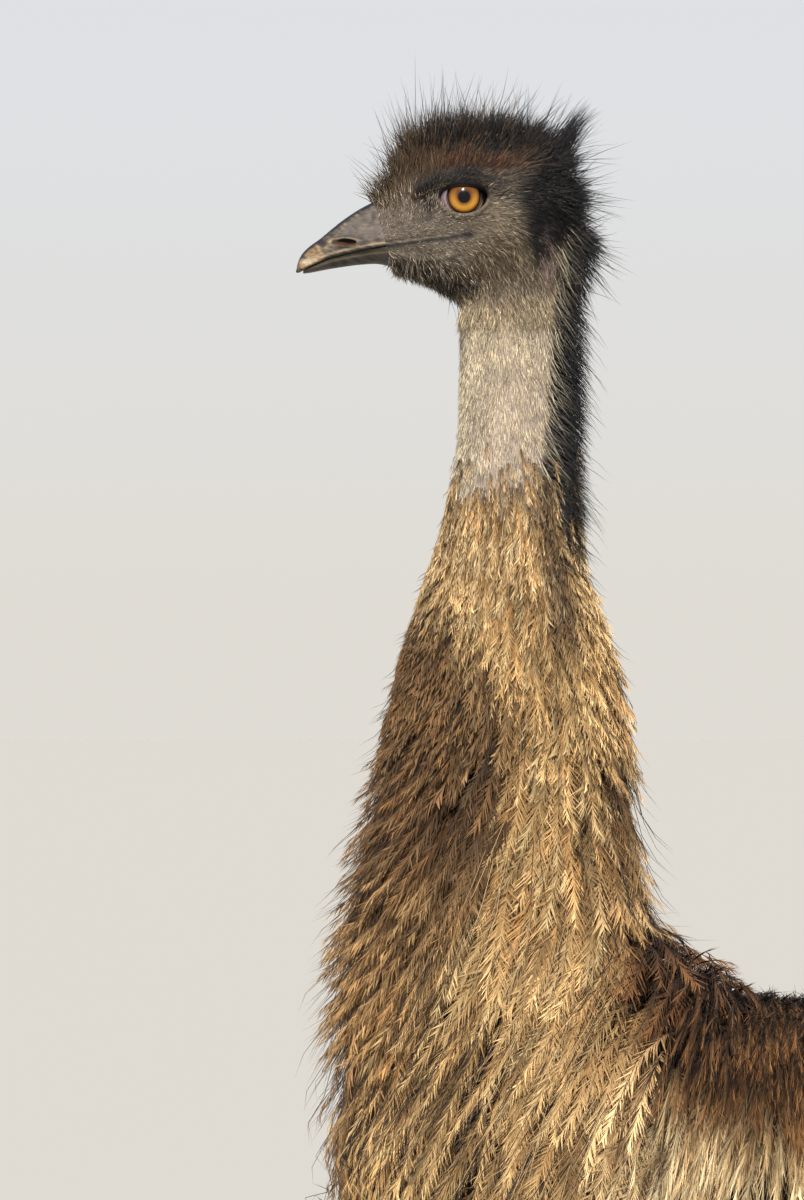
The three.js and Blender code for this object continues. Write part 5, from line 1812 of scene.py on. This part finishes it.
def in_mantle(p):
    return step(975, 1030, p[:, 2]) * (1 - near_neck(p)) * step(-20, -90, p[:, 0])


def front_flare(p):
    f = neck_share(p)
    return 0.15 + 1.1 * step(0.1, -0.7, f) + 0.6 * step(0.5, 0.95, f) * step(1120, 1180, p[:, 2])


def open_angle(p):
    """Barbs open wide on the neck's side and back, and close along the shaft at its front."""
    return 0.30 + 0.28 * step(-0.75, 0.0, neck_share(p))


lay("coat_neck_tufts", lambda p: step(1270, 1345, p[:, 2]) * step(1476, 1388, p[:, 2]) ** 1.5, 3400, 3.4, 101, neck_length, (0.35, 0.9), 4, front_flare, 13, 8.0, 0.30, ragged=0.14, contrast=0.4)
lay("coat_neck_plumes", lambda p: step(1130, 1150, p[:, 2]) * step(1395, 1310, p[:, 2]) * near_neck(p), 1150, 6.5, 111, neck_length, (0.35, 0.9), 7, front_flare, 43, 13.0, open_angle, cap=1.3)
lay("coat_breast", lambda p: (p[:, 2] < 1145) * near_neck(p) * step(690, 760, p[:, 2]), 900, 11.0, 121, neck_length, (0.35, 0.9), 8, front_flare, 53, 15.0, open_angle, cap=1.25)
lay("coat_mantle", in_mantle, 2900, 4.4, 131, lambda p: 64 + 0 * p[:, 0], (0.45, 1.08), 5, 0.12, 15, 16.0, 0.16, two=0.08, ragged=0.05, roof=0.05, contrast=0.25, pale=1.1, tone_of=0.45, cap=1.3)
lay("coat_side", lambda p: (1 - near_neck(p)) * step(150, 60, p[:, 0]) * step(610, 660, p[:, 2]) * (1 - 0.85 * in_mantle(p)), 700, 16.0, 141, lambda p: 118 + 0 * p[:, 0], (0.35, 0.95), 8, 0.1, 46, 15.0, 0.40)
lay("coat_rump", lambda p: step(60, 150, p[:, 0]) * step(610, 660, p[:, 2]), 640, 16.0, 151, lambda p: 130 + 0.10 * np.maximum(p[:, 0], 0), (0.35, 0.95), 8, 0.05, 46, 16.0, 0.36)
lay("coat_thigh", lambda p: step(668, 620, p[:, 2]) * step(438, 452, p[:, 2]), 900, 9.0, 161, lambda p: np.interp(p[:, 2], [440, 480, 560, 660], [26, 44, 70, 95]), (0.3, 0.95), 5, 0.1, 22, 11.0, 0.40)



def on_ridge(p):
    """1 along the top of the back and round the tail's end, where the longer feathers only begin."""
    up = step(0.45, 0.82, unit(whole.slope(p, 6.0))[:, 2]) * step(-110, -50, p[:, 0])
    return np.maximum(up, step(345, 385, p[:, 0]) * step(660, 720, p[:, 2])) * (p[:, 2] > 640)


lay("coat_back", on_ridge, 2000, 10.8, 181, lambda p: 74 + 0 * p[:, 0], (0.5, 0.98), 6, 0.06, 15, 17.0, 0.30, two=0.12, contrast=0.3, tone_of=0.3)

# ---- single long dark hairs that stand out at the edges of neck and breast
root = roots_on(skin_pts, skin_tris, lambda p: step(1470, 1400, p[:, 2]) * step(860, 960, p[:, 2]) * near_neck(p), 2100, 3.0, 171)
r = np.random.default_rng(172)
n_ = len(root)
normal = unit(whole.slope(root, 5.0))
length = neck_length(root) * r.uniform(0.9, 1.35, n_)
flare_ = front_flare(root) * r.uniform(0.6, 1.8, n_) + 0.1
path, nn = plume_paths(root, normal, length, r.uniform(0.6, 1.0, n_), 5, flare_, 173, r.normal(size=(n_, 3)) * 0.10, 0.5, 1.6)
path = np.concatenate([path[:, 1:2], path[:, 2:]], 1)
share = neck_share(path[:, 2])
dark = (np.clip(step(-0.2, -0.6, share) + step(0.45, 0.8, share), 0, 1) > r.random(n_)) | (r.random(n_) < 0.35)
a = mix(np.repeat(rgb(150, 116, 74)[None], n_, 0), np.repeat(rgb(46, 33, 25)[None], n_, 0), dark * 1.0)
b = mix(np.repeat(rgb(224, 196, 148)[None], n_, 0), np.repeat(rgb(34, 26, 22)[None], n_, 0), dark * 1.0)
tone = r.uniform(0.7, 1.3, n_)[:, None]
pts, tris, col, uv = needles(path, nn, 0.34 * r.uniform(0.8, 1.2, n_), np.array([1.0, 0.9, 0.75, 0.5, 0.0]), spread_colour(a * tone, b * tone, 5), unwrap(root))
piece = build("coat_wisps", pts, tris, col, {}, uv)
piece.data.materials.append(hair_mat)
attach(piece, "root")
print("coat_wisps", n_, len(tris))

# ---------------------------------------------------------------- scutes, scales and claws of the bare legs


def on_leg(p, turns=5):
    """Points brought onto the leg's own surface, and the surface's direction there."""
    for _ in range(turns):
        g = unit(leg_zone.slope(p, 2.0))
        p = p - g * leg_zone.at(p)[..., None]
    return p, unit(leg_zone.slope(p, 3.0))


def walk(start, heading, stop, limit=520):
    """A line over the leg's surface from a start, one millimetre a step."""
    p, g = on_leg(np.array([start], float))
    d = np.array([heading], float)
    out = [p[0]]
    for _ in range(limit):
        d = unit(d - g * dot(d, g))
        p, g = on_leg(p + d, 3)
        out.append(p[0])
        if stop(p[0]):
            break
    return np.array(out)


def strip(line, half, across=9):
    """A grid over the surface either side of a line: (M, 2 across + 1, 3), with its normals and along directions."""
    line_t = unit(np.gradient(line, axis=0))
    cols = {0: line}
    for sign in (1, -1):
        p = line.copy()
        for j in range(1, across + 1):
            g = unit(leg_zone.slope(p, 3.0))
            side = unit(np.cross(g, line_t)) * sign
            p, g = on_leg(p + side * (half / across)[:, None], 3)
            cols[sign * j] = p
    grid = np.stack([cols[j] for j in range(-across, across + 1)], 1)
    normal = unit(leg_zone.slope(grid, 3.0))
    return grid, normal


def plates(line, half, tall, first, last, seed, high=1.0, bow=0.16):
    """Overlapping plates down a strip: each starts under the one above and ends in a free lip."""
    across, rows = 7, 6
    r = np.random.default_rng(seed)
    grid, normal = strip(line, half, across)
    m, w, _ = grid.shape
    share = np.linspace(-1, 1, w)
    pts, tris, col = [], [], []
    base = 0
    at = first
    cells = []
    for i in range(rows - 1):
        for j in range(w - 1):
            a, b = i * w + j, i * w + j + 1
            cells += [(a, a + w, b), (b, a + w, b + w)]
    cells = np.array(cells)
    while at < last:
        h = float(tall(at)) * r.uniform(0.86, 1.16)
        steps = np.array([-0.22, 0.1, 0.45, 0.78, 0.97, 1.03])
        lift = np.array([-0.7, 0.25, 0.62, 0.95, 0.85, -0.6]) * high
        tilt = r.normal() * 0.05
        fit_w = np.clip(1 - np.abs(share) ** 5, 0, 1)
        along = at + h * (steps[:, None] - bow * share[None, :] ** 2 * 1.6 + tilt * share[None, :])
        along = np.clip(along, 0, m - 1.001)
        lo = along.astype(int)
        f = (along - lo)[..., None]
        jj = np.broadcast_to(np.arange(w)[None], lo.shape)
        p = grid[lo, jj] * (1 - f) + grid[np.minimum(lo + 1, m - 1), jj] * f
        g = unit(normal[lo, jj])
        up = lift[:, None] * fit_w[None] - 0.7 * (1 - fit_w[None]) * high
        up = up + 0.12 * np.sin(share * 9 + r.uniform(0, 6))[None] * (lift[:, None] > 0)
        pts.append((p + g * up[..., None]).reshape(-1, 3))
        tone = r.uniform(0.84, 1.18) * (1 + 0.0 * share)
        # painted shade where each plate runs under the one above and where its lip turns under, a painted highlight
        # along the lip, and painted shade towards the strip's sides
        shade = np.array([0.5, 0.78, 0.98, 1.12, 1.3, 0.55])[:, None] * tone[None]
        shade = shade * (1 - 0.25 * np.abs(share)[None] ** 3)
        col.append(shade.reshape(-1))
        tris.append(cells + base)
        base += rows * w
        at += h
    return np.concatenate(pts), np.concatenate(tris), np.concatenate(col)


def apart(p, gap):
    """Keeps points so that no two are nearer than the gap at the first of them."""
    kept = np.zeros(len(p), bool)
    alive = np.ones(len(p), bool)
    for i in range(len(p)):
        if alive[i]:
            kept[i] = True
            alive &= np.linalg.norm(p - p[i], axis=1) > gap[i]
    return kept


SHANK_LINE = walk((-45, 0, 432), (0, 0, -1), lambda p: p[2] < 20 or p[0] < -46, 460)
MIDDLE_LINE = walk((-30, 0, 44), (-1, 0, -0.6), lambda p: p[0] < -118, 160)
lines = [SHANK_LINE]
sheets = []
shank_half = np.interp(SHANK_LINE[:, 2], [30, 60, 100, 200, 330, 400, 432], [21, 21, 20, 19, 20, 23, 21])
sheets.append(plates(SHANK_LINE, shank_half, lambda s: np.interp(s, [0, 40, 60, 250, 340, 420], [6.5, 7, 9.5, 13.5, 11.5, 8.0]), 3, len(SHANK_LINE) - 5, 301, 1.05))
for k, (length, angle, r_, knuckles) in TOES.items():
    a = math.radians(angle)
    ahead = np.array([-math.cos(a), -math.sin(a), -0.15])
    start = np.array([-22 * math.cos(a), -22 * math.sin(a), r_ * 2.4]) if k != "middle" else np.array([-36.0, 0.0, 40.0])
    stop_at = length - 7
    line = walk(start, ahead, lambda p, a=a, e=stop_at: -p[0] * math.cos(a) - p[1] * math.sin(a) > e, 190)
    t = np.linspace(0, 1, len(line))
    half = r_ * (1.12 - 0.42 * t)
    sheets.append(plates(line, half, lambda s, n=len(line): np.interp(s / n, [0, 1], [6.8, 4.6]), 2, len(line) - 3, 302 + int(length), 0.8, 0.1))
    lines.append(line)
line_pts_all = np.concatenate(lines)

r = np.random.default_rng(331)
root = roots_on(leg_pts, leg_tris, lambda p: (p[:, 2] > 3.5) * (p[:, 2] < 446) * np.interp(p[:, 2], [0, 70, 110], [2.4, 2.0, 1.0]), 16000, 0, 330)
root, g = on_leg(root, 2)
reach = np.full(len(root), 99.0)
for line, half in zip(lines, [0.93 * shank_half] + [0.9 * TOES[k][2] * (1.12 - 0.42 * np.linspace(0, 1, len(l_))) for k, l_ in zip(TOES, lines[1:])]):
    d = np.linalg.norm(root[:, None] - line[None, ::3], axis=-1) - half[None, ::3]
    reach = np.minimum(reach, d.min(1))
root, g = root[reach > -1.0], g[reach > -1.0]
gap = np.interp(root[:, 2], [0, 40, 110, 360, 410, 440], [3.9, 4.3, 5.2, 5.4, 4.8, 4.4])
keep = apart(root, gap)
root, g, gap = root[keep], g[keep], gap[keep]
down = np.array([0, 0, -1.0]) + np.array([-1.4, 0, 0]) * step(60, 20, root[:, 2])[:, None]
t_ = unit(down - g * dot(down, g))
s_ = np.cross(g, t_)
n_ = len(root)
turn_ = np.arange(6) / 6 * 2 * np.pi
size = gap * 0.66 * r.uniform(0.9, 1.12, n_)
rings = []
for share, lift in ((1.0, -0.45), (0.66, 0.42)):
    wob = r.uniform(0.9, 1.1, (n_, 6))
    q = root[:, None] + share * size[:, None, None] * wob[..., None] * (np.cos(turn_)[None, :, None] * t_[:, None] * 1.12 + np.sin(turn_)[None, :, None] * s_[:, None])
    q, gg = on_leg(q, 2)
    rings.append(q + gg * lift)
top = (root + g * 0.62)[:, None]
pts_ = np.concatenate([rings[0], rings[1], top], 1)
cells = []
for i in range(6):
    j = (i + 1) % 6
    cells += [(i, j, 6 + i), (6 + i, j, 6 + j), (6 + i, 6 + j, 12)]
cells = np.array(cells)
# facing outwards
v0 = pts_[:, cells[0, 0]]
flip = dot(np.cross(pts_[:, cells[2, 1]] - pts_[:, cells[2, 0]], pts_[:, 12] - pts_[:, cells[2, 0]]), g)[:, 0].mean() < 0
if flip:
    cells = cells[:, ::-1]
tone = r.uniform(0.78, 1.2, n_)
# painted shade round each scale's foot and a painted highlight on its crown
shade_ = np.concatenate([np.full((n_, 6), 0.55), np.full((n_, 6), 0.98), np.full((n_, 1), 1.14)], 1) * tone[:, None]
sheets.append((pts_.reshape(-1, 3), (cells[None] + 13 * np.arange(n_)[:, None, None]).reshape(-1, 3), shade_.reshape(-1)))

scale_pts, scale_tris, scale_shade = joined(sheets)
# every plate faces outwards as well
mid = scale_pts[scale_tris].mean(1)
face = np.cross(scale_pts[scale_tris[:, 1]] - scale_pts[scale_tris[:, 0]], scale_pts[scale_tris[:, 2]] - scale_pts[scale_tris[:, 0]])
wrong = dot(face, leg_zone.slope(mid, 3.0))[:, 0] < 0
print("scales", n_, len(scale_tris), "turned", int(wrong.sum()))
if wrong[: len(wrong) // 8].mean() > 0.5:
    scale_tris = np.where(wrong[:, None], scale_tris[:, ::-1], scale_tris)
scale_pts[:, 2] = np.maximum(scale_pts[:, 2], 0.25)

scale_mat = coat_material("scales", 0.46, 0.64, 0.0, 0.42)
low, high_ = rgb(74, 64, 57), rgb(112, 98, 84)
blotch = noise3(scale_pts, 22, 341) * 0.5 + 0.5
dust = step(70, 8, scale_pts[:, 2])
scale_colour = mix(low[None], high_[None], 0.15 + 0.75 * blotch) * scale_shade[:, None]
scale_colour = mix(scale_colour, scale_colour * 0.5 + 0.5 * rgb(146, 124, 98) * scale_shade[:, None] ** 1.5, dust * 0.4)
# each plate and scale has its own small patch of the bake map, at its middle's place
n_plate = sum(len(part_[0]) for part_ in sheets[:-1])
cell_i = np.arange(n_plate) % 90
local_uv = np.empty((len(scale_pts), 2))
local_uv[:n_plate, 0] = (cell_i % 15) / 14
local_uv[:n_plate, 1] = (cell_i // 15) / 5
ring_uv = np.stack([np.cos(turn_), np.sin(turn_)], -1)
local_uv[n_plate:] = np.tile(np.concatenate([0.5 + 0.5 * ring_uv, 0.5 + 0.33 * ring_uv, [[0.5, 0.5]]]), (n_, 1))
heart = np.empty_like(scale_pts)
heart[:n_plate] = np.repeat(scale_pts[:n_plate].reshape(-1, 90, 3).mean(1), 90, 0)
heart[n_plate:] = np.repeat(scale_pts[n_plate:].reshape(-1, 13, 3).mean(1), 13, 0)
for name, (side, foot_x) in FEET.items():
    q = leg_to_bird(scale_pts, name)
    around = (np.arctan2(heart[:, 1], -heart[:, 0] - 8) / (2 * np.pi) + 0.5) * 0.21 + 0.51 + 0.24 * (side > 0)
    uv = np.stack([around, 0.02 + 0.33 * np.clip(heart[:, 2] / 450, 0, 1)], -1) + local_uv * PATCH
    piece = build("coat_scales_" + name, q, scale_tris if side > 0 else scale_tris[:, ::-1], scale_colour, {}, uv)
    piece.data.materials.append(scale_mat)
    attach(piece, "root")

# ---- claws: a root under the toe's skin, a rounded keel above, flat below, drawn to a blunt tip
for toe, (length, angle, r_, knuckles) in TOES.items():
    a = math.radians(angle)
    rows, around_n = 30, 24
    t = np.linspace(0.03, 1.0, rows)
    s = (length - 4) - 6 + 27 * t
    k = (7.4 if toe == "middle" else 6.4) * np.sqrt(np.maximum(0, t + 0.08)) * np.maximum(0, 1 - t) ** 0.62 * 1.75
    k = np.maximum(k, 0.35)
    zc = r_ * 0.64 + 1.5 - t * t * (r_ * 0.64 - 3.2)
    th = np.arange(around_n) / around_n * 2 * np.pi
    keel = np.where(np.sin(th) > 0, np.abs(np.sin(th)) ** 0.92, -np.abs(np.sin(th)) ** 0.75 * 0.92)
    w = k[:, None] * 0.70 * np.sign(np.cos(th)) * np.abs(np.cos(th)) ** 1.08
    ring_w = w * (1 + 0.012 * np.sin(s[:, None] * 2.6))
    z = zc[:, None] + k[:, None] * 0.78 * keel[None] * (1 + 0.010 * np.sin(s[:, None] * 2.1))
    z = np.maximum(z, 0.2)
    u = -s[:, None] * math.cos(a) + ring_w * math.sin(a)
    v = -s[:, None] * math.sin(a) - ring_w * math.cos(a)
    p = np.stack([u, v, z], -1).reshape(-1, 3)
    i, j = np.meshgrid(np.arange(rows - 1), np.arange(around_n), indexing="ij")
    a0, b0 = i * around_n + j, i * around_n + (j + 1) % around_n
    tri = np.concatenate([np.stack([a0, b0, a0 + around_n], -1).reshape(-1, 3), np.stack([b0, b0 + around_n, a0 + around_n], -1).reshape(-1, 3)])
    last_row = (rows - 1) * around_n
    cap_ = np.array([[last_row + q_, last_row + (q_ + 1) % around_n, len(p)] for q_ in range(around_n)])
    p = np.concatenate([p, p[last_row:].mean(0, keepdims=True) + np.array([[-math.cos(a) * 0.25, -math.sin(a) * 0.25, 0]])])
    tri = np.concatenate([tri, cap_])
    centre = np.array([-(s.mean()) * math.cos(a), -(s.mean()) * math.sin(a), zc.mean()])
    f = np.cross(p[tri[:, 1]] - p[tri[:, 0]], p[tri[:, 2]] - p[tri[:, 0]])
    if dot(f, p[tri].mean(1) - centre)[:, 0].mean() < 0:
        tri = tri[:, ::-1]
    tt = np.concatenate([np.repeat(t, around_n), [1.0]])
    grow = 0.5 + 0.5 * np.sin(tt * 46 + 1.5 * np.sin(tt * 9))
    col = mix(rgb(30, 27, 26)[None], rgb(62, 54, 48)[None], 0.25 + 0.3 * grow + 0.5 * step(0.7, 1.0, tt))
    col = mix(col, rgb(88, 76, 64), step(0.22, 0.06, tt) * 0.6)
    for name, (side, foot_x) in FEET.items():
        piece = build(f"claw_{toe}_{name}_horn", leg_to_bird(p, name), tri if side > 0 else tri[:, ::-1], col, {"matte": np.full(len(p), 0.65)})
        piece.data.materials.append(horn_mat)
        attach(piece, "root")
        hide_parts(f"claw_{toe}_{name}")


# ---------------------------------------------------------------- sizes and end

low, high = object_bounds()
